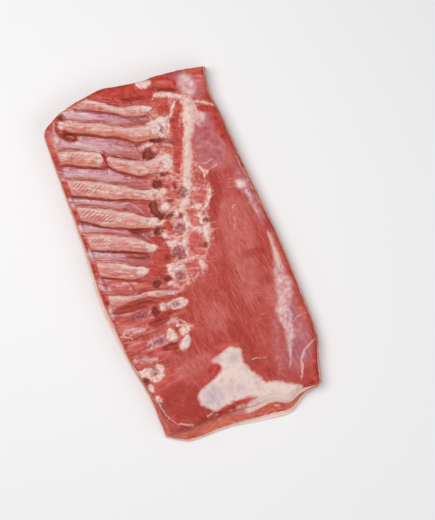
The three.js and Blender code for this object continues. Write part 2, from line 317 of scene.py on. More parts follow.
# Ovals, each with the place of its middle, its length and width in mm, and its turn in degrees.
OVALS = {
    "pale": [
        (102, -90, 58, 27, 85), (-44, -158, 62, 24, 15), (92, 114, 54, 28, -5), (13, -103, 46, 32, 95),
    ],
    "deep": [
        (-76, -200, 66, 54, -30), (-33, -233, 76, 12, -5), (36, -153, 84, 27, -75), (96, -34, 36, 14, -12),
        (100, -77, 20, 16, 90), (70, 70, 78, 24, 72), (62, -207, 44, 18, -20),
    ],
    "cloud": [
        (93, 231, 37, 23, 85), (92, 183, 30, 19, 90), (121, 38, 48, 5, 98), (115, 66, 15, 14, 0),
        (-112, 216, 34, 22, -35), *[(x, y, 21, 17, 0) for x, y in LOIN_EDGE_KNOTS],
    ],
    "lilac": [(-33, -208, 34, 28, 0), (5, -211, 18, 12, -10), (12, -167, 20, 16, 0), (0, -242, 30, 7, 0)],
    "bright": [
        (-31, 33, 23, 12, -12), (-33, 9, 26, 24, 0), (-46, -9, 20, 13, -15), (48, 209, 22, 19, 90),
        (-7, 46, 16, 11, 90), (104, 189, 24, 10, -20), (60, 97, 25, 13, 80),
    ],
    "tint": [(109, -188, 44, 30, 95), (116, -133, 36, 27, 95), (92, -190, 34, 20, 75)],
    "fresh": [
        (61, 244, 36, 22, -20), (116, 246, 24, 12, -10), (105, 189, 27, 9, -25), (114, 156, 48, 12, 92),
        (48, 208, 20, 17, 0), (-7, 47, 14, 10, 90), (-32, 33, 24, 14, -10), (-31, 8, 30, 23, 0),
        (-42, -10, 27, 17, -5), (133, -57, 54, 6, 90), (-98, 252, 20, 16, -30), (-86, -122, 68, 16, -5),
        (-17, -172, 24, 18, -10), (0, -232, 60, 9, -5), *[(x, y, 28, 10, 90) for x, y in LOIN_EDGE_CUTS],
    ],
    "flesh": [
        (-127, 221, 40, 13, 90), (-97, -60, 64, 34, -10), (-112, -100, 33, 14, 0), (-81, -125, 32, 13, -5),
        (-66, -245, 92, 12, -3), (-80, -164, 30, 18, 0), (-93, -12, 70, 20, -18), (53, 71, 22, 20, 0),
        (33, 43, 26, 14, 90), (22, 7, 38, 22, 88), (6, -22, 26, 23, 0), (14, 105, 21, 11, -20),
        (117, 227, 30, 22, 110), (-34, 9, 30, 23, 0), (-38, -27, 29, 21, 0), (-99, -4, 28, 12, -18),
    ],
    "orange": [
        (49, 221, 26, 10, -12), (36, 151, 20, 13, -20), (15, 86, 18, 14, -70), (-7, 45, 16, 11, 90),
        (10, -147, 36, 8, -12), (-127, 218, 28, 8, 90), (60, 246, 28, 11, -15), (133, -52, 48, 5, 92),
        (131, -137, 36, 10, 95), (112, 248, 31, 7, -7), (-84, -17, 32, 12, -10), (-113, -134, 27, 7, -3),
        (-97, -162, 44, 14, 35),
    ],
    "pink": [
        (15, 208, 42, 20, 0), (-70, 258, 44, 8, 12), (-115, -51, 30, 11, -5), (-106, -78, 38, 14, 0),
        (-106, -123, 38, 14, -10), (-52, -86, 16, 11, 0), (-83, -106, 36, 16, 0), (-35, -26, 18, 15, 0),
    ],
    "fat": [
        (-5, 98, 24, 17, 0), (9, 168, 22, 7, 0), (-16, 55, 20, 6, 0), (44, 58, 12, 7, 0),
        (-34, -64, 32, 14, -5), (-39, 26, 15, 9, -5), (11, 59, 15, 8, 10), (33, 256, 20, 13, -20),
        (-96, 240, 24, 11, -10), (-87, 256, 26, 10, -15), (-114, -165, 13, 9, 100),
        (-110, -184, 12, 8, 110), (71, 101, 9, 8, 0), (-59, -105, 21, 14, 95), (-39, -104, 18, 11, -5),
        (20, -23, 11, 9, 100),
    ],
    "cover": [(114, 67, 11, 10, 0), (15, 137, 28, 23, 0)],
    # Painted highlights: pale shine on the wet silverskin of the rib beds.
    "painted_sheen": [(-70, 244, 50, 13, -25), (-80, 199, 42, 11, -27), (-35, 226, 14, 5, -30)],
    "violet": [
        (34, 184, 14, 9, 100), (30, 85, 18, 14, 100), (-7, 5, 22, 19, 90), (-16, -28, 16, 15, 0),
        (8, 37, 16, 15, 0), (-91, -62, 29, 12, -5), (-38, -63, 17, 8, -5), (-79, -106, 18, 10, -5),
        (-100, -143, 14, 9, 100), (-108, -195, 19, 6, 110), (-3, 150, 14, 10, 60), (-48, 52, 28, 12, -28),
    ],
    # Pits of dark clotted blood, darkened further with painted shade.
    "dark": [
        (4, 155, 19, 13, -40), (0, 110, 15, 12, -10), (-22, 44, 14, 12, 20), (-53, -26, 13, 12, 0),
        (-35, -26, 13, 10, -15), (-69, -64, 15, 9, 95), (-97, 252, 10, 8, 60), (-94, 225, 6, 5, 0),
        (-89, 215, 6, 4, 20), (21, 171, 20, 10, -20), (11, 182, 8, 4, 110), (12, 121, 6, 5, 0),
        (24, 99, 5, 4, 90), (16, 55, 5, 5, 0), (48, 35, 5, 5, 0), (34, 1, 5, 5, 0), (-25, 5, 6, 4, 90),
        (-118, -153, 11, 6, -25), (-42, -19, 5, 4, 0),
    ],
    # Hollows whose dark red is painted shade over the lean.
    "shaded_recess": [
        (-94, 221, 26, 13, -50), (-69, -79, 34, 12, 0), (-64, 20, 34, 4, -25), (-49, 56, 33, 7, -20),
        (-56, 86, 24, 5, -33), (-30, 162, 38, 6, -32), (-64, -120, 28, 12, -5), (-36, -121, 25, 6, 70),
        (-55, -73, 18, 6, -5), (63, 235, 30, 6, -25), (14, 239, 42, 6, -17), (8, 80, 12, 8, -20),
        (-58, 172, 19, 4, 90),
    ],
    "gristle": [
        (-44, -121, 23, 12, 50), (-56, -60, 10, 8, 90), (0, 74, 12, 11, 0), (-16, 36, 7, 6, 90),
        (-32, -34, 9, 5, -5), (53, 231, 11, 5, -20), (7, 15, 12, 7, 60), (41, 18, 20, 7, 80),
        (-14, -17, 16, 7, 0), (32, 27, 13, 5, -35), (-10, 21, 14, 5, 15), (21, -25, 9, 5, 40),
    ],
}
# Closed outlines.
AREAS = {
    "pale": [[(66, 40), (90, 60), (108, 40), (104, -20), (90, -60), (70, -100), (56, -80), (62, -20)]],
    "silver": [
        [(66, 188), (84, 200), (106, 184), (113, 160), (114, 130), (110, 112), (96, 102), (78, 104),
         (66, 112), (64, 130), (68, 160)],
        [(80, 250), (94, 254), (108, 246), (112, 226), (104, 208), (90, 206), (81, 214), (79, 232)],
        [(98, -110), (112, -100), (126, -112), (130, -150), (126, -184), (114, -208), (98, -218),
         (84, -214), (88, -190), (94, -165), (96, -140)],
        [(112, 100), (122, 90), (128, 40), (126, 0), (118, 10), (114, 60)],
    ],
    "fresh": [
        [(-50, 267), (-30, 272), (0, 267), (24, 263), (30, 248), (44, 244), (48, 232), (36, 228), (18, 236),
         (2, 240), (-14, 246), (-30, 254), (-42, 262)],
    ],
    "pink": [
        [(60, 222), (80, 218), (90, 206), (92, 196), (84, 184), (72, 176), (66, 162), (66, 144), (66, 122),
         (68, 108), (66, 92), (72, 82), (66, 66), (58, 54), (50, 36), (50, 14), (42, -2), (30, -14),
         (20, -34), (2, -40), (-18, -48), (-30, -40), (-32, -22), (-26, -10), (-14, 2), (-18, 22),
         (-30, 30), (-34, 44), (-30, 56), (-24, 66), (-26, 84), (-14, 92), (-12, 106), (-14, 118), (0, 122),
         (-14, 142), (-10, 164), (10, 172), (32, 172), (34, 182), (44, 194), (60, 204)],
    ],
    "fat": [
        [(-127, -136), (-108, -136), (-90, -139), (-88, -146), (-92, -157), (-104, -160), (-116, -152),
         (-124, -146)],
    ],
    "cover": [
        [(-18, -160), (-8, -157), (5, -152), (16, -152), (26, -159), (24, -170), (26, -184), (34, -200),
         (42, -214), (54, -219), (66, -225), (78, -232), (88, -239), (98, -248), (94, -256), (80, -254),
         (66, -247), (50, -242), (30, -239), (14, -239), (0, -244), (-14, -244), (-14, -238), (4, -236),
         (16, -234), (28, -232), (14, -226), (0, -225), (-18, -226), (-34, -228), (-46, -222), (-54, -210),
         (-54, -200), (-44, -194), (-32, -188), (-14, -181), (-7, -174), (-10, -166)],
        [(-22, -238), (-6, -236), (14, -236), (34, -234), (60, -238), (84, -244), (101, -250), (100, -262),
         (56, -268), (20, -262), (-6, -258), (-26, -250)],
        [(16, 197), (28, 200), (47, 203), (50, 197), (42, 184), (32, 170), (22, 176), (10, 190)],
        [(76, 211), (84, 212), (92, 206), (92, 194), (86, 180), (76, 173), (71, 178), (76, 192), (78, 203)],
    ],
}
# Lines, each with the widths that it runs through.
LINES = {
    "fresh": [
        ([(-104, 247), (-108, 234), (-106, 224), (-100, 216), (-94, 211)], (4, 6, 7, 6, 3)),
        ([(71, 210), (65, 196), (56, 180), (51, 162), (45, 145), (39, 130), (34, 116)],
         (10, 19, 21, 19, 16, 14, 6)),
        ([(126, -200), (122, -222), (102, -242)], (6, 14, 8)),
    ],
    # Dark clotted blood, darkened further with painted shade.
    "dark": [([(-17, 84), (-17, 74), (-12, 64), (4, 60)], (12, 12, 9, 3))],
    # A hollow under the lowest strip, its dark red painted shade.
    "shaded_recess": [([(-124, -44), (-98, -47), (-74, -48), (-57, -52)], (8, 11, 9, 3))],
    # Painted highlights along the wet rib beds and silverskin.
    "painted_sheen": [
        ([(-90, 209), (-79, 200), (-70, 193), (-56, 184)], (1.5, 4, 4, 1.5)),
        ([(-120, 171), (-105, 167), (-92, 161), (-76, 153)], (6, 7, 4, 1.5)),
        ([(-122, 130), (-108, 125), (-92, 117)], (7, 6, 2)),
        ([(-124, 90), (-110, 84), (-96, 77)], (6, 5, 2)), ([(-122, 46), (-106, 40), (-92, 34)], (6, 5, 1)),
        ([(-44, 48), (-34, 43)], (3, 3)), ([(-52, 232), (-36, 227), (-22, 219)], (1.5, 3, 1.5)),
        ([(-40, 186), (-24, 176), (-14, 168)], (1, 2.5, 1)),
        ([(-102, -9), (-92, -12), (-80, -16)], (1.5, 5, 3)),
        ([(-118, -50), (-104, -54), (-90, -55)], (2, 2.5, 1)),
        ([(-110, 246), (-113, 232), (-116, 220)], (2, 3.4, 2)),
        ([(-120, -75), (-106, -78), (-92, -82)], (3, 8, 4)),
        ([(-120, -120), (-106, -123), (-92, -128)], (2, 7, 4)),
        ([(-96, -104), (-84, -102), (-70, -99)], (2, 4, 3)),
        ([(-94, -111), (-82, -113), (-68, -111)], (1.5, 3, 2)),
        ([(-66, -34), (-50, -40), (-34, -46), (-22, -48)], (2, 4, 3, 2)),
        ([(-58, -84), (-48, -86), (-44, -92)], (3, 4, 2)), ([(-8, 168), (2, 170), (14, 170)], (2, 4, 2)),
        ([(-4, 40), (6, 46), (16, 50)], (2, 5, 2)), ([(-24, -16), (-14, -18), (-8, -28)], (3, 5, 3)),
        ([(-50, -199), (-38, -192), (-24, -190)], (3, 6, 3)),
        ([(-14, -196), (-10, -206), (-12, -214)], (2, 5, 2)),
        ([(4, -218), (24, -219), (36, -222)], (2, 5, 2)),
        ([(108, -122), (114, -134), (110, -146)], (2, 6, 3)),
    ],
    # Creases and slits whose dark red-brown is painted shade, mostly under the strips' lower edges. The
    # first, wider line is an orange-brown knot in its own colour.
    "shaded_groove": [
        ([(-102, 224), (-95, 220), (-90, 216)], (6, 10, 6)),
        ([(-98, 226), (-82, 219), (-59, 208), (-45, 200)], (2, 3, 3, 2)),
        ([(-34, 197), (-20, 188), (-9, 179), (3, 175)], (2, 3, 3, 1)),
        ([(-107, 246), (-107, 230), (-101, 218), (-95, 211)], (3, 5, 5, 2)),
        ([(-118, 184), (-100, 175), (-84, 167), (-64, 159)], (2, 3, 3, 2)),
        ([(-58, 160), (-50, 150), (-40, 142), (-20, 129), (-4, 125)], (2, 3, 3, 2, 1)),
        ([(-118, 206), (-99, 203), (-79, 192)], (1.0, 1.4, 1.8)),
        ([(-128, 140), (-100, 126), (-74, 113), (-45, 102), (-20, 90)], (1.5, 2.5, 2.5, 2.5, 2)),
        ([(-92, 108), (-70, 98), (-52, 88), (-29, 70)], (1, 2, 3, 2)),
        ([(-122, 97), (-100, 81), (-77, 69), (-52, 58), (-29, 51)], (1.5, 2.5, 3, 3, 3)),
        ([(-124, 54), (-91, 38), (-70, 29), (-50, 19)], (2, 3, 3.5, 3)),
        ([(-122, 10), (-109, 3), (-91, -6), (-77, -12), (-60, -19)], (3, 3, 3, 4, 3)),
        ([(-127, -16), (-112, -19), (-98, -25)], (1, 2, 1.5)),
        ([(-127, -40), (-95, -40), (-70, -43), (-50, -51)], (2, 3, 3, 3)),
        ([(-129, -87), (-105, -91), (-74, -92)], (1.5, 3, 2)),
        ([(-122, -108), (-108, -109), (-100, -108)], (1, 2, 1)),
        ([(50, 238), (62, 233), (76, 227)], (1, 2.5, 1)),
        ([(78, -26), (96, -29), (112, -33)], (0.6, 1.6, 0.8)),
        ([(-125, -133), (-110, -135), (-95, -138)], (1, 2.5, 1.5)),
        ([(-49, -52), (-38, -54), (-28, -57)], (1, 2.4, 1)), ([(-49, -93), (-49, -101)], (2, 2)),
        ([(-48, -74), (-40, -76)], (2, 1.5)), ([(-45, -37), (-31, -40)], (2, 1)),
        ([(5, 213), (12, 205), (15, 198)], (1, 1.6, 1)), ([(22, 216), (26, 208), (30, 199)], (1, 1.8, 1)),
        ([(-6, 128), (6, 124), (16, 118), (24, 117)], (1.5, 2.5, 2.5, 1)),
        ([(-5, 213), (6, 206), (13, 198)], (1, 1.4, 1)), ([(58, -88), (58, -110), (60, -140)], (1, 1.8, 1)),
        ([(64, -30), (62, -50), (66, -80)], (1, 2, 1)), ([(74, -84), (78, -100), (76, -116)], (1, 2, 0.8)),
        ([(-116, -150), (-121, -147), (-126, -149)], (1, 1.6, 1)),
        ([(-108, -188), (-110, -205), (-104, -222), (-90, -230)], (1, 2, 2, 1.4)),
        ([(-95, 261), (-84, 258), (-74, 258)], (1, 2.4, 1)),
        ([(-120, -62), (-104, -62), (-84, -66)], (1, 1.5, 1)),
        ([(66, 120), (65, 110), (66, 98), (68, 84)], (1, 1.6, 1.6, 1)), ([(-62, 150), (-58, 160)], (1, 2)),
    ],
    "cloud": [
        ([(127, -18), (126, -40), (124, -60), (121, -78), (120, -95), (114, -112), (103, -128), (104, -146),
          (104, -160), (99, -172), (94, -184)], (3, 5, 9, 15, 21, 21, 17, 14, 14, 10, 3)),
        ([(122, -74), (119, -92), (112, -110), (101, -130), (102, -150), (98, -170)], (3, 9, 12, 9, 8, 3)),
    ],
    "silver": [([(89, -134), (84, -156), (80, -176), (74, -196), (70, -212)], (8, 10, 13, 14, 8))],
    "orange": [
        ([(94, -126), (90, -140), (87, -160), (83, -178), (76, -196), (67, -214)], (2, 3, 3, 4, 4, 3)),
    ],
    "ridge": [
        ([(86, 210), (81, 195), (77, 183), (73, 170), (63, 152), (58, 138), (54, 124), (47, 110), (41, 97),
          (35, 84), (29, 72), (22, 62), (16, 55)], (8, 15, 18, 14, 11, 12, 13, 12, 13, 12, 12, 10, 4)),
    ],
    "fat": [
        ([(46, 234), (56, 230), (68, 224), (80, 217), (90, 208)], (8, 8, 5, 5, 6)),
        ([(92, 207), (100, 202), (108, 197), (119, 190)], (3, 3, 4, 2)),
        ([(66, 213), (58, 205), (52, 196), (46, 184), (40, 172)], (3, 3.4, 3, 3, 2)),
        ([(50, 41), (47, 30), (44, 16), (38, 3)], (3, 6, 6, 2)),
        ([(45, 24), (38, 20), (33, 21)], (3, 2, 1)), ([(47, 34), (54, 38)], (3, 1)),
        ([(40, 6), (33, 9)], (3, 1)), ([(36, 48), (44, 42), (48, 40)], (1.5, 3, 3)),
        ([(22, 58), (20, 46), (16, 32), (10, 18), (6, 8)], (6, 6, 5, 6, 4)),
        ([(-16, 6), (-14, 14), (-4, 18), (4, 12), (6, 4), (2, -6), (-8, -9)], (0.6, 4, 5, 1.6, 5, 1, 3)),
        ([(-26, -8), (-16, -9), (-6, -8), (6, -8), (18, -9), (26, -12)], (6, 5, 3, 2.4, 2.4, 1.5)),
        ([(-26, -10), (-26, -22), (-20, -34), (-10, -34), (-6, -24), (-8, -12)], (5, 7, 1.6, 4, 1, 5)),
        ([(8, 26), (20, 29), (32, 29)], (2, 4, 3)), ([(40, 88), (48, 83), (56, 81)], (3, 4, 2)),
        ([(67, 112), (70, 104), (69, 96)], (3, 5, 2)),
        ([(25, 66), (34, 61), (42, 60), (50, 54)], (4, 3, 4, 2)),
        ([(24, 56), (23, 44), (25, 34), (30, 29)], (4, 3, 3, 3)),
        ([(42, 50), (43, 42), (40, 34)], (3, 4, 5)), ([(-16, 24), (-8, 22), (-2, 19)], (4, 5, 3)),
        ([(70, 80), (65, 68), (57, 56), (48, 51)], (2, 4, 4, 3)),
        ([(56, 108), (47, 100), (46, 90)], (1, 2, 2)), ([(-48, -93), (-38, -97), (-26, -103)], (2, 3, 1.5)),
    ],
    "thread": [
        ([(-112, -178), (-110, -190), (-109, -204), (-104, -216), (-98, -226), (-88, -231), (-76, -236)],
         (1, 2.4, 1, 2, 1, 3, 2)),
        ([(94, -186), (90, -198), (84, -208)], (4, 3, 2)),
        ([(113, -148), (122, -144), (136, -143)], (1, 1.6, 1)),
        ([(135, -182), (124, -187), (114, -192), (106, -203), (100, -220), (94, -230)],
         (1.5, 2.4, 3.2, 4, 4.6, 2)),
        ([(38, -178), (50, -180), (60, -184)], (1.8, 1.2, 0.6)),
        ([(67, 82), (62, 70), (57, 60), (49, 52), (40, 57)], (1.4, 2, 2.2, 2.2, 1)),
        ([(64, 76), (75, 78)], (1.4, 0.5)), ([(63, 70), (74, 71)], (1.4, 0.5)),
        ([(62, 66), (72, 66)], (1.3, 0.5)), ([(40, 1), (34, -8), (28, -14)], (1.6, 1.2, 0.8)),
        ([(50, 30), (60, 26)], (1.0, 0.5)), ([(50, 20), (60, 17)], (1.0, 0.5)),
        ([(91, 40), (88, 24), (82, 9)], (1.2, 0.8, 1.4)), ([(90, 40), (98, 40)], (1, 0.5)),
        ([(74, 102), (84, 104), (92, 106)], (1.6, 1.2, 0.6)),
        ([(66, 118), (78, 114), (90, 116)], (1, 1, 0.5)),
        ([(122, 108), (126, 80), (127, 64), (130, 40), (134, 20), (136, -4)], (1.6, 1.6, 1.2, 1.2, 1.2, 1)),
        ([(126, -10), (125, -28), (124, -44), (123, -66)], (2, 3, 4, 4)),
        ([(-45, -84), (-36, -92), (-24, -102)], (1, 3, 1)),
        ([(-50, -82), (-42, -86), (-34, -94)], (1, 2, 1)),
        ([(78, 205), (70, 197), (64, 186), (60, 176)], (1, 1.4, 1.4, 1)),
        ([(60, 96), (66, 108)], (0.8, 0.8)), ([(28, 160), (36, 158), (41, 154)], (2, 3, 1)),
        ([(20, 153), (26, 150), (34, 151)], (1.6, 1.6, 1)),
        ([(-112, -90), (-124, -82), (-130, -80)], (1, 2, 1)),
        ([(-52, -232), (-44, -230), (-40, -226)], (3, 2, 1)),
        ([(30, 134), (36, 144), (40, 156)], (0.8, 1.2, 0.8)),
        ([(42, 240), (40, 230), (36, 228)], (1, 1, 1)), ([(-78, -62), (-74, -60)], (2, 2)),
        ([(-88, 208), (-77, 200), (-66, 190), (-54, 184)], (1.6, 3, 3, 1.2)),
        ([(6, 86), (22, 74), (24, 66)], (1, 1.4, 1)),
        ([(-22, -13), (-10, -10), (4, -12), (16, -12), (26, -16)], (1.4, 1, 1.2, 1.4, 1)),
        ([(-20, 42), (-4, 62), (16, 64)], (0.8, 1, 1)), ([(16, 20), (4, 26), (-2, 28)], (1, 1.4, 1)),
    ],
}


def between_strips(above, below, stop):
    """The two sides of a rib bed: the lower edges of the strips above it, the upper edges of those below."""
    sides = []
    for names, edge in ((above, 1), (below, 0)):
        points = [p for name in names for p in STRIPS[name][edge]]
        sides.append([p for p in points if p[0] < stop])
    return sides


def bed_marks(x, y):
    """Depth inside the rib beds, how far across its bed a place lies, from 0 under the strip above to 1, and
    how near the inner end of the bed it is."""
    depth, across, end = np.full(x.shape, -REACH), np.zeros(x.shape), np.zeros(x.shape)
    for above, below, stop in BEDS:
        upper, lower = between_strips(above, below, stop)
        inside = deepest(x, y, areas=[upper + lower[::-1]])
        from_upper = -deepest(x, y, lines=[(upper, (0, 0))])
        from_lower = -deepest(x, y, lines=[(lower, (0, 0))])
        across = np.where(inside > depth, from_upper / np.maximum(from_upper + from_lower, 1e-3), across)
        end = np.where(inside > depth, smooth((x - stop + BED_END_START) / BED_END_OVER), end)
        depth = np.maximum(depth, inside)
    return np.minimum(depth, x - BED_START), across, end


def tissue_marks(x, y):
    """The depth in mm inside each tissue, for every place of the rib side."""
    wandered_x = x + uneven(x, y, (1.3, 9, 41), (0.6, 3.5, 42))
    wandered_y = y + uneven(x, y, (1.3, 9, 43), (0.6, 3.5, 44))
    marks = {}
    for name in dict.fromkeys([*OVALS, *AREAS, *LINES]):
        shapes = AREAS.get(name, ()), LINES.get(name, ()), OVALS.get(name, ())
        marks[name] = deepest(wandered_x, wandered_y, *shapes)
    marks["bed"], marks["bed_across"], marks["bed_end"] = bed_marks(x, y)
    return marks


GRAIN_SLANT = 0.1           # how much the grain slants across the slab
TURN_COS, TURN_SIN = 0.5, 0.87      # it turns by 60 degrees in the flank's loin corner
TURN_AT = (-60, -150)


def grain_marks(x, y):
    """Coordinates that follow the muscle grain, along the slab and turning in the flank's loin corner, and
    others that follow the ribs, with how far the ribs' part reaches."""
    turned = smooth((-30 - x) / 50) * smooth((-120 - y) / 50)       # from the loin and the flank inwards
    u, v = x - TURN_AT[0], y - TURN_AT[1]
    rib_slope = 0.04 + 0.38 * smooth((y + 110) / 130)       # the ribs slant more towards the shoulder
    # The ribs' part ends on a slant on its inner side and at the shoulder, and squarely at the flank.
    inner, flank, shoulder = (12 + 0.35 * y - x) / 30, (y + 165) / 20, (248 - 0.49 * x - y) / 8
    return {
        "across": x + GRAIN_SLANT * y + turned * ((TURN_SIN - GRAIN_SLANT) * v - (1 - TURN_COS) * u),
        "along": y - turned * ((1 - TURN_COS) * v + TURN_SIN * u),
        "level_x": x,
        "rib_lie": y + rib_slope * (x + 60),
        "rib_zone": smooth(inner) * smooth(flank) * smooth(shoulder),
    }


# ---- Height of the slab --------------------------------------------------------------------------
# The low arch along which the ribs met their gristle, how high it stands, and how deep the rib beds are.
ARCH = [(84, 206), (62, 150), (40, 96), (20, 45), (-6, 2), (-22, -30), (-36, -62)]
ARCH_RISE, BED_DROP = 1.8, 4.4
# How much each tissue stands up, and over how many mm from its edge it does.
RELIEF = [
    ("fat", 1.0, 3.0), ("fresh", 0.6, 3.5), ("dark", -2.4, 5.0), ("shaded_recess", -1.8, 4.0), ("shaded_groove", -0.9, 1.8),
    ("cover", 0.8, 5.0), ("cloud", 0.5, 5.0), ("gristle", 1.6, 3.4), ("thread", 0.5, 1.2),
    ("violet", -0.9, 3.0), ("orange", 0.5, 3.0), ("bright", 0.6, 3.0), ("ridge", 1.0, 4.0),
]


def slab_top(x, y):
    """The plain slab's height: most at the loin and the shoulder, least at the belly and the flank."""
    across = np.clip(x / WIDTH + 0.5, 0, 1)
    length = np.clip(y / LENGTH + 0.5, 0, 1)
    ends = SHOULDER_RISE * smooth(2 * length - 1) - FLANK_DROP * smooth(1 - 2 * length)
    return LOIN_HEIGHT - BELLY_DROP * across + ends


def ground(x, y):
    """The plain slab with its broad unevenness, which the strips of rib meat follow too."""
    return slab_top(x, y) + uneven(x, y, (0.9, 28, 51), (0.5, 11, 52))


def rib_side_height(x, y, marks):
    """The height of the rib side, with the hollow of each rib bed and the relief of each tissue."""
    z = ground(x, y) + uneven(x, y, (0.25, 4.5, 53))
    arch = curve(ARCH, 60)
    z += ARCH_RISE * smooth(1 + deepest(x, y, lines=[(arch, (0, 0))]) / REACH)
    # A bed is steep under the strip above it, deepest a third of the way across, and rises slowly from there.
    hollow = smooth(marks["bed_across"] / 0.25) * smooth((1 - marks["bed_across"]) / 0.6)
    z -= BED_DROP * hollow * smooth((marks["bed"] + 1.5) / 5.0)
    for name, rise, slope in RELIEF:
        z += rise * smooth((marks[name] + 0.5) / slope)
    torn = smooth((marks["pink"] + 2) / 4) * smooth(-marks["fresh"] / 2)
    return z + torn * uneven(x, y, (0.7, 5.5, 54), (0.35, 2.8, 55))


# ---- The rim: one row of places round the slab ---------------------------------------------------
EVEN_RIM, EVEN_CUT, EVEN_INWARD = 5, 15, 21         # over how many places of the rim each is evened out
EDGE_WANDER = (0.5, 0.9, 0.9, 0.9)                  # how far in or out the four edges of the cut wander
BAND_WANDER = ((1.1, 26), (1.2, 18), (1.1, 21))     # how far up or down three of them do, and its size
LEAST_STEP = 0.4            # how much further in each edge lies than the one below it, at least


def make_rim():
    """The places of the rim, the way inwards, and how far in and how high each edge of the cut is there."""
    walk = {"flank": COLUMN_AT, "belly": ROW_AT[1:], "shoulder": COLUMN_AT[-2::-1], "loin": ROW_AT[-2:0:-1]}
    points, cut = [], []
    for side, share in walk.items():
        fine = curve(SIDES[side], 4000)
        at = share * (len(fine) - 1)
        points.append(np.column_stack([np.interp(at, np.arange(len(fine)), fine[:, k]) for k in (0, 1)]))
        cut.append(along_side(CUT[side], share))
    points, cut = rolling(np.vstack(points), EVEN_RIM), rolling(np.vstack(cut), EVEN_CUT)
    tangent = np.roll(points, -1, axis=0) - np.roll(points, 1, axis=0)
    normal = np.column_stack([-tangent[:, 1], tangent[:, 0]])
    inward = rolling(normal / np.linalg.norm(tangent, axis=1)[:, None], EVEN_INWARD)
    inward /= np.linalg.norm(inward, axis=1)[:, None]
    x, y = points.T
    for k, most in enumerate(EDGE_WANDER):
        cut[:, k] += uneven(x, y, (most, 20, 30 + k), (0.4 * most, 6, 35 + k))
    for k, (most, size) in enumerate(BAND_WANDER):
        cut[:, 4 + k] += uneven(x, y, (most, size, 10 + k), (0.4, 5, 20 + k))
    cut[:, 1:4] = np.maximum(cut[:, 1:4], cut[:, :3] + LEAST_STEP)
    heights = np.column_stack([cut[:, 4:], slab_top(x, y) - TOP_ROUND])
    return {"points": points, "inward": inward, "insets": cut[:, :4], "heights": heights}


def wall_lumps(rim, level, size, seed):
    """Unevenness of the cut at the given heights, one for each place of the rim."""
    x, y = rim["points"].T
    return lumps(x + 3 * level, y - 3 * level, size, seed)


def cut_face(rim, level):
    """Where the cut stands at the given heights, one for each place of the rim."""
    inset = np.zeros(len(level))
    below_z, below_in = np.zeros(len(level)), np.zeros(len(level))
    for above_z, above_in in zip(rim["heights"].T, rim["insets"].T):
        share = np.clip((level - below_z) / (above_z - below_z), 0, 1)
        inset += (above_in - below_in) * share
        below_z, below_in = above_z, above_in
    return np.column_stack([rim["points"] + rim["inward"] * inset[:, None], level])


# ---- Meshes --------------------------------------------------------------------------------------
def middle_of_frame():
    """How far the frame's origin lies from the place that the outline's points are counted from, in mm."""
    outline = np.vstack([curve(points, 400) for points in SIDES.values()])
    low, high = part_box("rind_and_back_fat")
    middle = np.array([(low.x + high.x) / 2, (low.y + high.y) / 2]) / MM
    return middle - (outline.min(0) + outline.max(0)) / 2


SHIFT = middle_of_frame()


def make_piece(name, points, faces, material, marks):
    """A piece of the belly, with the marks that its material reads from its points."""
    mesh = bpy.data.meshes.new(name)
    mesh.from_pydata(((np.asarray(points) + [*SHIFT, 0]) * MM).tolist(), [], faces)
    mesh.polygons.foreach_set("use_smooth", [True] * len(mesh.polygons))
    for mark, values in marks.items():
        held = mesh.attributes.new(mark, "FLOAT", "POINT")
        held.data.foreach_set("value", np.ascontiguousarray(values, np.float32))
    mesh.materials.append(material)
    mesh.update()
    mesh.set_sharp_from_angle(angle=math.radians(60))
    piece = bpy.data.objects.new(name, mesh)
    bpy.context.scene.collection.objects.link(piece)
    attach(piece, "root")
    return piece


def grid_faces(number):
    """Quads of a grid of point numbers whose rows run towards +Y and columns towards +X."""
    corners = [number[:-1, :-1], number[:-1, 1:], number[1:, 1:], number[1:, :-1]]
    return np.stack(corners, -1).reshape(-1, 4).tolist()


def ring_wall(rings):
    """Faces of a wall through rings of point numbers, lowest first, anticlockwise seen from above."""
    faces = []
    for low, high in zip(rings, rings[1:]):
        faces.append(np.column_stack([low, np.roll(low, -1), np.roll(high, -1), high]))
    return np.vstack(faces).tolist()


def fan(ring, hub, up):
    """A lid of triangles from a ring of point numbers to the one in its middle, facing up or down."""
    ring = list(ring)
    return [(a, b, hub) if up else (b, a, hub) for a, b in zip(ring, ring[1:] + ring[:1])]


# ---- Materials -----------------------------------------------------------------------------------
def colour(code):
    """An sRGB hex colour as linear light."""
    parts = [int(code[k:k + 2], 16) / 255 for k in (1, 3, 5)]
    return [p / 12.92 if p <= 0.04045 else ((p + 0.055) / 1.055) ** 2.4 for p in parts] + [1.0]


def add(tree, kind, inputs=None, out=0, **settings):
    """Adds a node with its settings, and links or sets its inputs. Gives one of its outputs."""
    made = tree.nodes.new(kind)
    for key, value in settings.items():
        setattr(made, key, value)
    for key, value in (inputs or {}).items():
        if isinstance(value, bpy.types.NodeSocket):
            tree.links.new(value, made.inputs[key])
        else:
            made.inputs[key].default_value = value
    return made.outputs[out]


def new_material(name):
    """A material with an empty node tree."""
    material = bpy.data.materials.new(name)
    material.use_nodes = True
    material.node_tree.nodes.clear()
    return material, material.node_tree


def in_mm(tree):
    """The place on the piece in millimetres."""
    place = add(tree, "ShaderNodeTexCoord", out=3)
    return add(tree, "ShaderNodeVectorMath", {0: place, "Scale": 1 / MM}, operation="SCALE")


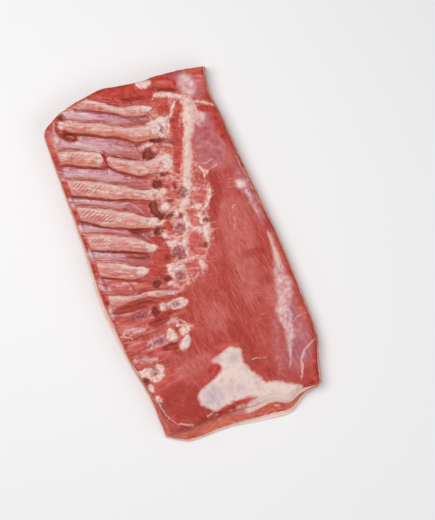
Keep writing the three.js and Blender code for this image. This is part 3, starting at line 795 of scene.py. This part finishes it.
def mottle(tree, place, size, seed, detail=3.0, stretch=(1, 1, 1), turn=0.0, rough=0.55):
    """Noise from 0 to 1 whose lumps are about `size` mm, drawn out by `stretch` after a turn about Z."""
    apart = (seed * 37.1, seed * 11.3, seed * 5.7)      # so that no two patterns are alike
    moved = add(tree, "ShaderNodeMapping", {"Vector": place, "Location": apart}, vector_type="POINT")
    if turn:
        moved = add(tree, "ShaderNodeVectorRotate", {"Vector": moved, "Angle": math.radians(turn)},
                    rotation_type="Z_AXIS")
    scale = tuple(1 / (size * s) for s in stretch)
    drawn = add(tree, "ShaderNodeVectorMath", {0: moved, 1: scale}, operation="MULTIPLY")
    return add(tree, "ShaderNodeTexNoise",
               {"Vector": drawn, "Scale": 1.0, "Detail": detail, "Roughness": rough})


def summed(tree, start, *parts):
    """A start value plus each part times its weight."""
    for value, weight in parts:
        start = add(tree, "ShaderNodeMath", {0: value, 1: weight, 2: start}, operation="MULTIPLY_ADD")
    return start


def frayed(tree, name, *noises):
    """A mark that the mesh holds, its edge frayed by noises, each given as (noise from 0 to 1, how much)."""
    held = add(tree, "ShaderNodeAttribute", out=2, attribute_name=name)
    return summed(tree, held, *[(summed(tree, -0.5, (noise, 1.0)), by) for noise, by in noises])


def tinted(tree, base, *tints):
    """Lays tints over a base colour, one after another. Each is given as its colour, the pattern it follows,
    the values at which it starts and is full, how much it then covers, and marks that hold it back."""
    for upper, pattern, low, high, most, *holds in tints:
        share = add(tree, "ShaderNodeMapRange", {0: pattern, 1: low, 2: high, 3: 0.0, 4: most},
                    interpolation_type="SMOOTHSTEP")
        for hold in holds:
            share = add(tree, "ShaderNodeMath", {0: share, 1: hold}, operation="MULTIPLY")
        under, over = [colour(c) if isinstance(c, str) else c for c in (base, upper)]
        base = add(tree, "ShaderNodeMix", {0: share, 6: under, 7: over}, out=2, data_type="RGBA")
    return base


def shades(tree, pattern, codes, low=0.3, high=0.7):
    """Runs through the colours as the pattern goes from low to high."""
    step = (high - low) / (len(codes) - 1)
    tints = [(code, pattern, low + step * k, low + step * (k + 1), 1.0) for k, code in enumerate(codes[1:])]
    return tinted(tree, codes[0], *tints)


def wet_surface(material, tree, base, rough, relief, depth_mm, coat=0.06, shine=0.22):
    """Wet flesh: a little light goes in and comes out again, under a thin film of juice."""
    bump = add(tree, "ShaderNodeBump", {"Height": relief, "Distance": depth_mm * MM, "Strength": 1.0})
    made = add(tree, "ShaderNodeBsdfPrincipled", {
        "Base Color": base, "Roughness": rough, "Normal": bump, "IOR": 1.4, "Specular IOR Level": shine,
        "Subsurface Weight": 0.12, "Subsurface Radius": (1.0, 0.35, 0.2), "Subsurface Scale": 2.2 * MM,
        "Coat Weight": coat, "Coat Roughness": 0.16})
    tree.links.new(made, tree.nodes.new("ShaderNodeOutputMaterial").inputs[0])
    return material


# How each tissue looks: how soft its edge is and how uneven its outline in mm, how much it covers, which way
# its mottling is drawn out, the size of the mottling in mm, the colour it fades through at its edge, and its
# own colours from dark to light.
LOOKS = [
    ("pale", 7, 6.0, 0.50, "grain", 2.4, None, ("#a8443c", "#bf665f", "#cf827b")),
    ("deep", 6, 6.0, 0.65, "grain", 2.0, None, ("#7a1610", "#962419", "#ac382c")),
    ("silver", 8, 4.0, 0.85, "even", 8.0, None, ("#9d464c", "#ac5d62", "#bd7b7f")),
    ("pink", 3.0, 4.5, 0.88, "even", 5.5, "#b85a50",
     ("#96352e", "#ab4b44", "#bb6660", "#c98a82", "#d2a9a0", "#b25a52")),
    ("tint", 4.5, 4.0, 0.70, "grain", 4.0, None, ("#8b3c4c", "#a45862", "#bc7a80")),
    ("cloud", 5.5, 1.8, 0.88, "even", 7.0, None, ("#b87578", "#c79497", "#d3b0ac", "#dcc4bc")),
    ("fresh", 2.0, 2.0, 0.94, "even", 8.0, None, ("#8a1c13", "#a32a1f", "#b43b2f", "#c24f43")),
    ("bed", 1.2, 0.9, 0.95, "even", 3.0, None, None),
    ("flesh", 3.0, 3.5, 0.85, "rib", 5.0, None, ("#98302a", "#b04640", "#bf5d57", "#cc817b")),
    ("orange", 2.4, 3.0, 0.80, "rib", 4.5, None, ("#a5382a", "#ba5040", "#cb7260")),
    ("fat", 1.4, 2.3, 0.92, "even", 5.0, "#c4685a", ("#b9766d", "#cb9e94", "#d6b8ae", "#dec9bf", "#d2b0a7")),
    ("cover", 3.0, 2.2, 0.95, "even", 16.0, "#cb857b",
     ("#c4a6a2", "#ceb4ac", "#d6c2ba", "#d3bfb8", "#c9aea8")),
    ("ridge", 2.4, 2.8, 0.94, "even", 6.0, "#c4685a", ("#c4948a", "#d2aca2", "#dbbdb3", "#d6b3a9")),
    ("lilac", 6.0, 3.0, 0.60, "grain", 3.5, None, ("#9e8494", "#b49ba6", "#c6b2b8")),
    # Painted highlight on wet silverskin.
    ("painted_sheen", 1.8, 1.8, 0.60, "rib", 2.6, None, ("#b08490", "#c8a9b0", "#d8c3c7")),
    ("violet", 2.4, 4.4, 0.80, "even", 4.0, None, ("#571c22", "#7e343a", "#9e5a5c", "#b98a88")),
    # Painted shade in hollows.
    ("shaded_recess", 2.2, 2.6, 0.90, "rib", 3.5, None, ("#68160b", "#8c2616", "#a63a25")),
    ("bright", 2.4, 3.6, 0.80, "even", 4.0, None, ("#8c2014", "#a93425", "#bd4f3e")),
    # Painted shade in creases and slits.
    ("shaded_groove", 0.9, 1.0, 0.74, "rib", 3.0, None, ("#641a12", "#8f2e1d", "#ad462c")),
    # Dark clotted blood, darkened further with painted shade.
    ("dark", 2.6, 3.8, 0.88, "even", 3.0, "#8f2f25", ("#48140f", "#6e1f18", "#96382b")),
    ("gristle", 1.8, 1.8, 0.85, "even", 4.0, "#c98f88", ("#c6a7a2", "#d6c2bd", "#dfd3d0")),
    ("thread", 0.9, 1.0, 0.68, "even", 3.0, None, ("#c98f86", "#d8ada2", "#dfc1b8")),
]
NOISE_SPREAD = 3.2          # noise lies mostly within 0.35 to 0.65, and this brings it to about 1 either way


def rib_side_flesh():
    """Raw lean, cut and torn by hand: fine wet muscle grain under fat, silverskin and rib beds."""
    material, t = new_material("rib_side_flesh")
    mm = in_mm(t)
    across, along, level_x, rib_lie, zone, bite, bed = [
        add(t, "ShaderNodeAttribute", out=2, attribute_name=name)
        for name in ("across", "along", "level_x", "rib_lie", "rib_zone", "bite", "bed")]
    by_grain = add(t, "ShaderNodeCombineXYZ", {0: across, 1: along, 2: 0.0})
    by_rib = add(t, "ShaderNodeCombineXYZ", {0: level_x, 1: rib_lie, 2: 0.0})
    # For each way of lying: the place, how the mottling is drawn out, and the noise that frays an edge.
    ways = {
        "even": (mm, (1, 1, 1), mottle(t, mm, 6, 6, 5.0, rough=0.62)),
        "grain": (by_grain, (1, 5, 1), mottle(t, by_grain, 3.0, 7, 5.0, (1, 4, 1), rough=0.62)),
        "rib": (by_rib, (5, 1, 1), mottle(t, by_rib, 2.6, 13, 5.0, (4, 1, 1), rough=0.62)),
    }
    # Bundles of muscle fibre are 0.5 to 1 mm thick. At 1.5 mm they are as fine as still shows.
    grain = mottle(t, by_grain, 1.5, 1, 4.0, (1, 10, 1))
    streak = mottle(t, by_rib, 2.2, 8, 4.0, (9, 1, 1))
    stripes = mottle(t, by_rib, 5.5, 14, 4.0, (5, 1, 1))
    broad = mottle(t, mm, 30, 3, 2.0)
    blotch = mottle(t, mm, 9, 4, 3.0)
    fine = mottle(t, mm, 2.2, 5, 3.0)

    base = lean_look(t, by_grain, grain, broad, blotch)
    for number, (name, soft, wobble, most, way, size, rim, codes) in enumerate(LOOKS):
        place, stretch, edge = ways[way]
        depth = frayed(t, name, (edge, wobble * NOISE_SPREAD))
        if name == "bed":
            base = tinted(t, base, ("#cb8878", streak, 0.5, 0.68, 0.5, zone),
                          ("#83241a", stripes, 0.48, 0.36, 0.6, zone))
            look = bed_look(t, streak, ways["rib"][2], blotch)
        else:
            look = shades(t, mottle(t, place, size, 40 + number, 4.0, stretch), codes)
        if rim:
            base = tinted(t, base, (rim, depth, -4.0, 0.5, 0.6))
        if name == "cover":
            bare = add(t, "ShaderNodeMapRange", {0: depth, 1: -soft, 2: soft, 3: 1.0, 4: 1.0 - most},
                       interpolation_type="SMOOTHSTEP")
        base = tinted(t, base, (look, depth, -soft, soft, most))

    wall_grain = mottle(t, mm, 2.0, 9, 4.0, (3, 3, 1))
    base = tinted(
        t, base,
        ("#8a2c22", stripes, 0.44, 0.34, 0.3, zone),
        (wall_look(t, mm, wall_grain), frayed(t, "bite", (wall_grain, 0.9)), 0.45, 0.8, 1.0, bare),
    )

    # The rib beds are wettest, and the cut wall has no wet film.
    wet = add(t, "ShaderNodeMapRange", {0: summed(t, bed, (fine, 2.0)), 1: 0.0, 2: 3.0, 3: 0.0, 4: 1.0},
              interpolation_type="SMOOTHSTEP")
    on_top = add(t, "ShaderNodeMapRange", {0: bite, 1: 0.6, 2: 0.2, 3: 0.0, 4: 1.0},
                 interpolation_type="SMOOTHSTEP")
    fibre = add(t, "ShaderNodeMix", {0: zone, 6: grain, 7: streak}, out=2, data_type="RGBA")
    rough = summed(t, 0.36, (fine, 0.24), (wet, -0.16))
    relief = summed(t, 0.0, (summed(t, 0.0, (fibre, 0.6)), bare), (fine, 0.55))
    coat = summed(t, 0.0, (summed(t, 0.06, (wet, 0.35)), on_top))
    shine = summed(t, 0.04, (on_top, 0.26))
    return wet_surface(material, t, base, rough, relief, 1.1, coat, shine)


def lean_look(t, by_grain, grain, broad, blotch):
    """Bare muscle: fine grain, lighter and darker strands along and across it, and broad patches."""
    strands = mottle(t, by_grain, 4.0, 2, 3.0, (1, 8, 1))
    crossing = mottle(t, by_grain, 2.8, 15, 4.0, (5, 1, 1), turn=14)
    return tinted(
        t, shades(t, grain, ("#8f261d", "#a63a31", "#b9534b")),
        ("#bf6058", strands, 0.45, 0.75, 0.45),
        ("#8e2319", strands, 0.50, 0.28, 0.42),
        ("#b9544c", broad, 0.42, 0.7, 0.35),
        ("#9c3023", blotch, 0.52, 0.8, 0.35),
        ("#cd7d78", summed(t, crossing, (broad, 0.6)), 0.90, 1.06, 0.32),
        ("#8f2c25", summed(t, crossing, (blotch, 0.6)), 0.70, 0.56, 0.32),
    )


def wall_look(t, mm, wall_grain):
    """The upper lean's cut wall: coarser, rounder grain, and a thin seam of fat along it."""
    seam = add(t, "ShaderNodeAttribute", out=2, attribute_name="seam")
    from_seam = add(t, "ShaderNodeMath", {0: seam}, operation="ABSOLUTE")
    from_seam = summed(t, from_seam, (mottle(t, mm, 5, 12, 3.0, (2, 2, 1)), 1.4))
    lean = shades(t, wall_grain, ("#94322a", "#b04a40", "#c6655a"))
    return tinted(t, lean, ("#dcaea3", from_seam, 1.5, 0.9, 0.5))


def bed_look(t, streak, edge, blotch):
    """A rib bed: painted shade under the strip above it, then mauve, a painted pale shine, red-brown by the
    next strip.
    """
    # Next to the strip above, the dark maroon is painted shade; the light lilac past the mauve is a painted
    # highlight.
    codes = ("#74261f", "#94484c", "#ab6b73", "#bb868d", "#c99c9f", "#b87773", "#a2463a", "#cf9f92")
    look = shades(t, frayed(t, "bed_across", (streak, 0.9)), codes, 0.0, 1.05)
    red = shades(t, streak, ("#8e2f28", "#a84b47", "#b56a6c"))
    return tinted(t, look, ("#ab5a5e", blotch, 0.5, 0.75, 0.40),
                  (red, frayed(t, "bed_end", (edge, 1.6)), 0.2, 0.9, 0.7))


def rib_meat_flesh():
    """Intercostal meat: a strip of muscle under a fatty membrane. Slanting red fibre shows through cream. Its
    upper side is lightened with painted highlight, and its lower edge darkened with painted shade.
    """
    material, t = new_material("rib_meat_flesh")
    mm = in_mm(t)
    blotch = mottle(t, mm, 7, 21, 4.0)
    fine = mottle(t, mm, 2.0, 22, 3.0)
    streak = mottle(t, mm, 3.8, 23, 4.0, (6, 1, 1), turn=23)
    pale = mottle(t, mm, 3.4, 24, 4.0, (5, 1, 1), turn=23)
    peach = add(t, "ShaderNodeAttribute", out=2, attribute_name="peach")
    side = frayed(t, "side", (fine, 0.35))      # from 1 at a strip's upper edge to -1 at its lower one
    bare = shades(t, streak, ("#a5423b", "#b86460", "#c78580"))
    brown = shades(t, streak, ("#a43c26", "#b95c40", "#c98163"))
    cut = shades(t, fine, ("#a8443b", "#c2685c", "#cf8a7d"))
    base = tinted(
        t, shades(t, blotch, ("#ab5c56", "#bc7a72", "#cb9a90", "#d6b8ac")),
        (bare, frayed(t, "flesh", (blotch, 2.2)), 0.2, 0.9, 0.8),
        ("#b2626a", streak, 0.48, 0.66, 0.45),
        # The upper side goes paler cream: the fatty membrane, lightened further with painted highlight where
        # the light falls.
        ("#d3b1a8", frayed(t, "side", (fine, 0.35), (blotch, 0.8)), 0.15, 0.7, 0.5),
        ("#d9c8be", pale, 0.48, 0.64, 0.55),
        ("#d8c3bc", frayed(t, "inner", (blotch, 2.4)), 0.35, 1.1, 0.8),
        ("#a24a4b", frayed(t, "hatch", (fine, 0.5)), 0.2, 0.75, 0.72),
        (brown, frayed(t, "side", (blotch, 1.3)), 0.25, -0.45, 1.0, peach),
        ("#c98a76", side, -0.45, -0.7, 0.5),
        # Painted shade: dark red-brown in the crease under the strip's lower edge.
        ("#84291a", side, -0.8, -0.97, 0.85),
        ("#b2584b", frayed(t, "side", (streak, 0.3)), 0.86, 0.99, 0.6),
        (cut, frayed(t, "cut", (blotch, 0.8)), 0.5, 0.85, 0.75),
    )
    relief = summed(t, 0.0, (streak, 0.6), (fine, 0.5))
    return wet_surface(material, t, base, summed(t, 0.34, (fine, 0.25)), relief, 1.0, shine=0.3)


def cut_lean():
    """The lower sheet of muscle where the knife went through: short coarse grain, a few threads of fat."""
    material, t = new_material("cut_lean")
    mm = in_mm(t)
    grain = mottle(t, mm, 1.8, 31, 4.0, (4, 4, 1))      # twice as coarse as it is, or it wouldn't show
    broad = mottle(t, mm, 12, 32, 2.0, (2, 2, 1))
    threads = mottle(t, mm, 3.2, 33, 2.0, (7, 7, 1))
    fine = mottle(t, mm, 1.6, 34, 3.0)
    base = tinted(t, shades(t, grain, ("#a23c30", "#c2594a", "#d27a69")), ("#d27a68", broad, 0.4, 0.7, 0.5),
                  ("#e3bbae", threads, 0.62, 0.72, 0.7))
    rough, relief = summed(t, 0.40, (fine, 0.2)), summed(t, grain, (fine, 0.4))
    return wet_surface(material, t, base, rough, relief, 0.7, 0.03, 0.12)


def cut_fat(name, low, high, seed):
    """Fat the knife went through: firm, waxy and pale, with soft lobes and a few red threads."""
    material, t = new_material(name)
    mm = in_mm(t)
    level, smeared = [add(t, "ShaderNodeAttribute", out=2, attribute_name=mark)
                      for mark in ("level", "smeared")]
    broad = mottle(t, mm, 14, seed, 3.0, (2, 2, 1))
    fine = mottle(t, mm, 1.5, seed + 1, 3.0)
    lobes = mottle(t, mm, 2.6, seed + 2, 2.0, (2, 2, 1))
    threads = mottle(t, mm, 2.2, seed + 3, 3.0, (8, 8, 1))
    base = tinted(
        t, low,
        (high, broad, 0.3, 0.7, 1.0),
        ("#d3a598", lobes, 0.5, 0.3, 0.5),
        ("#c77a6c", threads, 0.58, 0.7, 0.5),
        ("#bd5f54", summed(t, smeared, (broad, 0.5)), 0.2, 0.6, 0.85),
        ("#cfa085", summed(t, level, (broad, 1.2)), 3.2, 2.2, 1.0),     # the skin, up to about 2 mm
    )
    rough = summed(t, 0.36, (fine, 0.2))
    relief = summed(t, 0.0, (lobes, 0.8), (fine, 0.4))
    return wet_surface(material, t, base, rough, relief, 0.5, 0.08)


# ---- Pieces --------------------------------------------------------------------------------------
def stretched_grid(ring):
    """A grid of places stretched between the four sides of a ring, and how far from the ring each lies."""
    corner = np.cumsum([0, COLUMNS - 1, ROWS - 1, COLUMNS - 1])
    flank, belly = ring[:corner[1] + 1], ring[corner[1]:corner[2] + 1]
    shoulder, loin = ring[corner[2]:corner[3] + 1][::-1], np.vstack([ring[corner[3]:], ring[:1]])[::-1]
    u, v = np.meshgrid(COLUMN_AT, ROW_AT)
    places = []
    for k in (0, 1):
        low, right, high, left = (side[:, k] for side in (flank, belly, shoulder, loin))
        between = (1 - v) * low[None] + v * high[None] + (1 - u) * left[:, None] + u * right[:, None]
        corners = (1 - v) * ((1 - u) * low[0] + u * low[-1]) + v * ((1 - u) * high[0] + u * high[-1])
        places.append(between - corners)
    wide, long = np.ptp(places[0]), np.ptp(places[1])
    from_ring = np.minimum(np.minimum(u, 1 - u) * wide, np.minimum(v, 1 - v) * long)
    return places[0].ravel(), places[1].ravel(), from_ring.ravel()


def wall_rows(rim, high):
    """Rows of the upper lean's cut wall, which rolls over towards its top edge at the given heights."""
    low, low_in, high_in = rim["heights"][:, 2], rim["insets"][:, 2], rim["insets"][:, 3]
    rows = []
    for share in np.arange(WALL_LEVELS) / WALL_LEVELS:
        turn = share * WALL_TURN
        level = low + (high - low) * math.sin(turn) / math.sin(WALL_TURN)
        inset = low_in + (high_in - low_in) * (1 - math.cos(turn)) / (1 - math.cos(WALL_TURN))
        inset -= WALL_DENT * math.sin(math.pi * share) * wall_lumps(rim, level, 5, 61)
        rows.append(np.column_stack([rim["points"] + rim["inward"] * inset[:, None], level]))
    return rows


def make_rib_side(rim, material):
    """The upper lean: a grid stretched over the rib side, with its cut wall below."""
    x, y, from_ring = stretched_grid(cut_face(rim, rim["heights"][:, 3])[:, :2])
    marks = {**tissue_marks(x, y), **grain_marks(x, y)}
    z = rib_side_height(x, y, marks)
    z -= TOP_ROUND * np.clip(1 - from_ring / ROUND_OVER, 0, 1) ** 2

    number = np.arange(ROWS * COLUMNS).reshape(ROWS, COLUMNS)
    edge = np.concatenate([number[0], number[1:, -1], number[-1, -2::-1], number[-2:0:-1, 0]])
    rows = wall_rows(rim, z[edge])
    first, count = len(x), len(edge)
    points = np.vstack([np.column_stack([x, y, z])] + rows + [[[0, 0, LID_HEIGHT]]])
    rings = [np.arange(first + k * count, first + (k + 1) * count) for k in range(WALL_LEVELS)] + [edge]
    faces = grid_faces(number) + ring_wall(rings) + fan(rings[0], len(points) - 1, False)

    # On the wall the tissues go on straight down. "bite" is 1 where the knife's cut shows, and 0 on top.
    held = {name: np.concatenate([values, np.tile(values[edge], WALL_LEVELS), [0]])
            for name, values in marks.items()}
    wall_bite = np.repeat(1 - 0.5 * np.arange(WALL_LEVELS) / WALL_LEVELS, count)
    held["bite"] = np.concatenate([np.clip(0.5 - 0.5 * from_ring / TOP_ROUND, 0, 1), wall_bite, [1]])
    # "seam" is how far above or below the thin seam of fat in the wall a place lies.
    seam_height = SEAM_HEIGHT + uneven(*rim["points"].T, (1.8, 30, 62))
    seam = np.full(first, NO_SEAM)
    seam[edge] = z[edge] - seam_height
    held["seam"] = np.concatenate([seam] + [row[:, 2] - seam_height for row in rows] + [[0]])
    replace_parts(make_piece("upper_lean_rib_side", points, faces, material, held), "upper_lean")


def make_stack(name, node, rows, material, rim):
    """A closed layer made of rows of places round the slab, lowest first, with a lid at each end."""
    count = len(rim["points"])
    points = np.vstack(rows + [[[0, 0, rows[0][:, 2].mean()], [0, 0, rows[-1][:, 2].mean()]]])
    rings = [np.arange(k * count, (k + 1) * count) for k in range(len(rows))]
    faces = ring_wall(rings) + fan(rings[0], len(points) - 2, False) + fan(rings[-1], len(points) - 1, True)
    x, y, level = points.T
    # Red lean is smeared over the seam of fat at the flank end and along the loin's flank corner.
    flank_end = smooth((10 - x) / 30) * smooth((-225 - y) / 12)
    loin_corner = smooth((-100 - x) / 10) * smooth((-150 - y) / 40)
    smeared = np.maximum(flank_end, loin_corner) if node == "seam_fat" else np.zeros(len(points))
    held = {"level": level, "smeared": smeared}
    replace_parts(make_piece(name, points, faces, material, held), node)


def layer_rows(rim, low, high, levels, swell):
    """Rows of a layer that shows only where the knife cut through it, swelling out between its edges."""
    rows = []
    for share in np.linspace(0, 1, levels + 1):
        level = low + (high - low) * share
        wall = cut_face(rim, level)
        out = swell * math.sin(math.pi * share) + 0.3 * wall_lumps(rim, level, 4.5, 71 + levels)
        wall[:, :2] -= rim["inward"] * (out * min(1, 4 * share, 4 * (1 - share)))[:, None]
        rows.append(wall)
    return rows


def rind_rows(rim):
    """Rows of the rind, nearly flat underneath with a rounded foot, and of the back fat above it."""
    rows = []
    for share in (0.25, 0.5, 0.7, 0.85, 0.93, 0.97):
        xy = (rim["points"] + rim["inward"] * RIND_ROUND) * share
        lifted = 0.35 * (1 + lumps(*xy.T, 18, 81)) * (1 - share)
        rows.append(np.column_stack([xy, lifted]))
    for degrees in (0, 22, 45, 68, 90):
        angle = math.radians(degrees)
        xy = rim["points"] + rim["inward"] * RIND_ROUND * (1 - math.sin(angle))
        rows.append(np.column_stack([xy, np.full(len(xy), RIND_ROUND * (1 - math.cos(angle)))]))
    for share in np.linspace(0.15, 1, 7):
        level = RIND_ROUND + (rim["heights"][:, 0] - RIND_ROUND) * share
        wall = cut_face(rim, level)
        wall[:, :2] -= rim["inward"] * (0.25 * wall_lumps(rim, level, 4, 82) * (1 - share))[:, None]
        rows.append(wall)
    return rows


STRIP_STEP = 0.8            # how far apart its rows of points lie along a strip, in mm
LEAST_ROWS = 24
STRIP_AROUND = 30           # how many points a row has, from its upper edge over the crest to its lower one
LEAN_OVER = 0.26            # how far its crest leans over its lower edge, as a share of half its width
CUT_END, TORN_END, INNER_END = 2.5, 9.0, 13.0       # over how many mm each kind of end rises
END_HEIGHT = 0.12           # how much of the height is left at the very end, as a share
NARROW_OVER = 4.0           # over how many mm an end that isn't cut square narrows
UPPER_FOOT, LOWER_FOOT = 2.4, 7.0   # how deep its upper and its lower edge lie in the slab
FIBRE_PITCH = 6.2           # its slanting fibre, drawn about twice as coarse as it is, or it wouldn't show
FIBRE_SLANT = 1.2           # how far a fibre runs along the strip for each mm across it
FIBRE_DEPTH = 0.35          # how deep the furrows between fibres are
FIBRE_REACH = 64.0          # how far from the loin it shows best


def slanting_fibre(run, across, lateral, strength, seed):
    """How strongly the slanting fibre shows, from 0 to 1: patchy, and gone at a strip's two long edges."""
    phase = (run - FIBRE_SLANT * across) / FIBRE_PITCH + uneven(run, across, (0.2, 24, seed + 1))
    hatch = strength * smooth(np.cos(2 * math.pi * phase) + 0.15)
    hatch *= smooth((run - 3) / 8) * smooth((FIBRE_REACH - run) / 30) + 0.35
    return hatch * smooth(0.8 + lumps(run, across, 12, seed + 2)) * smooth(2.2 - 3.0 * abs(lateral))


def strip_size(run, raised, cut_square, seed):
    """How high and how wide a strip is at each place along it: it falls away and narrows at its ends."""
    left = run[-1] - run
    start = np.sqrt(smooth(run / CUT_END)) if cut_square else smooth(run / TORN_END)
    rise = raised
    for grown in (start, smooth(left / INNER_END)):
        rise = rise * (END_HEIGHT + (1 - END_HEIGHT) * grown)
    rise *= 1 + uneven(run, run * 0, (0.22, 17, seed + 5))
    wide = 1 + uneven(run, run * 0, (0.07, 9, seed), (0.05, 4, seed + 6))
    for away in (left,) if cut_square else (left, run):
        wide *= np.sqrt(np.clip(away / NARROW_OVER, 0.05, 1))
    return rise, wide


def make_strip(name, shape, material, seed):
    """One strip of rib meat: a gentle upper side, an uneven width, a crest leaning over its lower edge."""
    upper_edge, lower_edge, peach, fibre, flesh, raised, cut_square = shape
    steps = max(LEAST_ROWS, int(np.ptp([p[0] for p in upper_edge]) / STRIP_STEP))
    upper, lower = curve(upper_edge, steps), curve(lower_edge, steps)
    turns = np.linspace(0, math.pi, STRIP_AROUND)
    centre, half = (upper + lower) / 2, (upper - lower) / 2
    run = run_along(centre)
    rise, wide = strip_size(run, raised, cut_square, seed)
    lateral = (np.cos(turns) - LEAN_OVER * np.sin(turns))[None] * wide[:, None]
    xy = centre[:, None] + half[:, None] * lateral[..., None]
    x, y = xy[..., 0], xy[..., 1]
    across = lateral * np.linalg.norm(half, axis=1)[:, None]
    run_all = np.repeat(run[:, None], STRIP_AROUND, 1)
    hatch = slanting_fibre(run_all, across, lateral, fibre, seed)
    lump = uneven(x, y, (0.4, 7, seed + 3), (0.25, 2.8, seed + 4))
    lump += uneven(run_all, across * 4.5, (0.55, 15, seed + 7))
    lump += uneven(run_all, across * 4, (0.3, 7, seed + 8))
    crest = np.sin(turns) ** 0.5
    foot = UPPER_FOOT + (LOWER_FOOT - UPPER_FOOT) * smooth(turns / math.pi)
    z = ground(x, y) - foot + (foot + rise[:, None] + lump) * crest - FIBRE_DEPTH * hatch

    points = np.stack([x, y, z], -1)[:, ::-1].reshape(-1, 3)
    number = np.arange(steps * STRIP_AROUND).reshape(steps, -1)
    underside = np.column_stack([number[1:, 0], number[:-1, 0], number[:-1, -1], number[1:, -1]]).tolist()
    faces = grid_faces(number.T) + underside + [number[0].tolist(), number[-1, ::-1].tolist()]
    even = np.ones((steps, STRIP_AROUND))
    held = {
        "hatch": hatch,
        "side": np.cos(turns) * even,
        "cut": smooth((5.5 - run_all) / 4) * cut_square,
        "peach": peach * even,
        "inner": smooth((34 - (run[-1] - run)) / 30)[:, None] * even,
        "flesh": flesh * even,
    }
    held = {mark: values[:, ::-1].ravel() for mark, values in held.items()}
    make_piece(name, points, faces, material, held)


# ---- Stage ---------------------------------------------------------------------------------------
FLOOR_REACH = 12            # metres from its middle to its sides
SKY = 0.46                  # how bright the room is all round
# Each lamp: its name, its place and its width in metres, and its power in watts.
LAMPS = [("key", (-0.5, 0.45, 1.6), 1.0, 20), ("fill", (0.7, -0.9, 1.6), 1.6, 11)]
AIM = (42.3, -25.6, 38)     # the place in the slab's own frame that the camera looks at
AZIMUTH, ELEVATION = math.radians(-21), math.radians(86)
FRAME_HEIGHT = 0.7566       # metres that the frame's long side covers at the slab's face
LENS, SENSOR = 100, 36      # millimetres


def make_stage():
    """A bare pale floor, an even white room and two broad lamps."""
    material, t = new_material("pale_floor")
    made = add(t, "ShaderNodeBsdfPrincipled", {"Base Color": colour("#dfdedf"), "Roughness": 0.9})
    t.links.new(made, t.nodes.new("ShaderNodeOutputMaterial").inputs[0])
    mesh = bpy.data.meshes.new("floor")
    corners = [(FLOOR_REACH * x, FLOOR_REACH * y, 0) for x, y in ((-1, -1), (1, -1), (1, 1), (-1, 1))]
    mesh.from_pydata(corners, [], [(0, 1, 2, 3)])
    mesh.materials.append(material)
    floor = bpy.data.objects.new("floor", mesh)
    bpy.context.scene.collection.objects.link(floor)

    world = bpy.data.worlds.new("soft_room")
    world.use_nodes = True
    sky = world.node_tree.nodes["Background"]
    sky.inputs["Color"].default_value = (1, 1, 1, 1)
    sky.inputs["Strength"].default_value = SKY
    bpy.context.scene.world = world
    for name, place, size, power in LAMPS:
        lamp = bpy.data.lights.new(name, "AREA")
        lamp.shape, lamp.size, lamp.energy = "DISK", size, power
        light = bpy.data.objects.new(name, lamp)
        light.location = place
        light.rotation_mode = "QUATERNION"
        light.rotation_quaternion = Vector(place).to_track_quat("Z", "Y")
        bpy.context.scene.collection.objects.link(light)


def make_camera():
    """Nearly overhead, with a long lens, the slab lying aslant in the frame."""
    aim = Vector((AIM[0] + SHIFT[0], AIM[1] + SHIFT[1], AIM[2])) * MM
    flat = math.cos(ELEVATION)
    back = Vector((math.sin(AZIMUTH) * flat, -math.cos(AZIMUTH) * flat, math.sin(ELEVATION)))
    data = bpy.data.cameras.new("camera")
    data.lens, data.sensor_width = LENS, SENSOR
    camera = bpy.data.objects.new("camera", data)
    camera.location = aim + back * (FRAME_HEIGHT * LENS / SENSOR)
    camera.rotation_mode = "QUATERNION"
    camera.rotation_quaternion = back.to_track_quat("Z", "Y")
    bpy.context.scene.collection.objects.link(camera)
    bpy.context.scene.camera = camera


def main():
    bpy.context.scene.view_settings.view_transform = "Standard"
    make_camera()
    make_stage()
    rim = make_rim()
    back_fat, lower, seam, _ = rim["heights"].T
    make_rib_side(rim, rib_side_flesh())
    make_stack("seam_fat_band", "seam_fat", layer_rows(rim, lower, seam, 4, 0.2),
               cut_fat("seam_fat_cut", "#dfb9ae", "#edd6cc", 91), rim)
    make_stack("lower_lean_band", "lower_lean", layer_rows(rim, back_fat, lower, 8, 0.8),
               cut_lean(), rim)
    make_stack("rind_and_fat", "rind_and_back_fat", rind_rows(rim),
               cut_fat("back_fat_and_rind", "#e2b9a8", "#f0d9cc", 95), rim)
    strip_flesh = rib_meat_flesh()
    for number, (name, shape) in enumerate(STRIPS.items()):
        make_strip(name, shape, strip_flesh, 100 + 10 * number)


main()
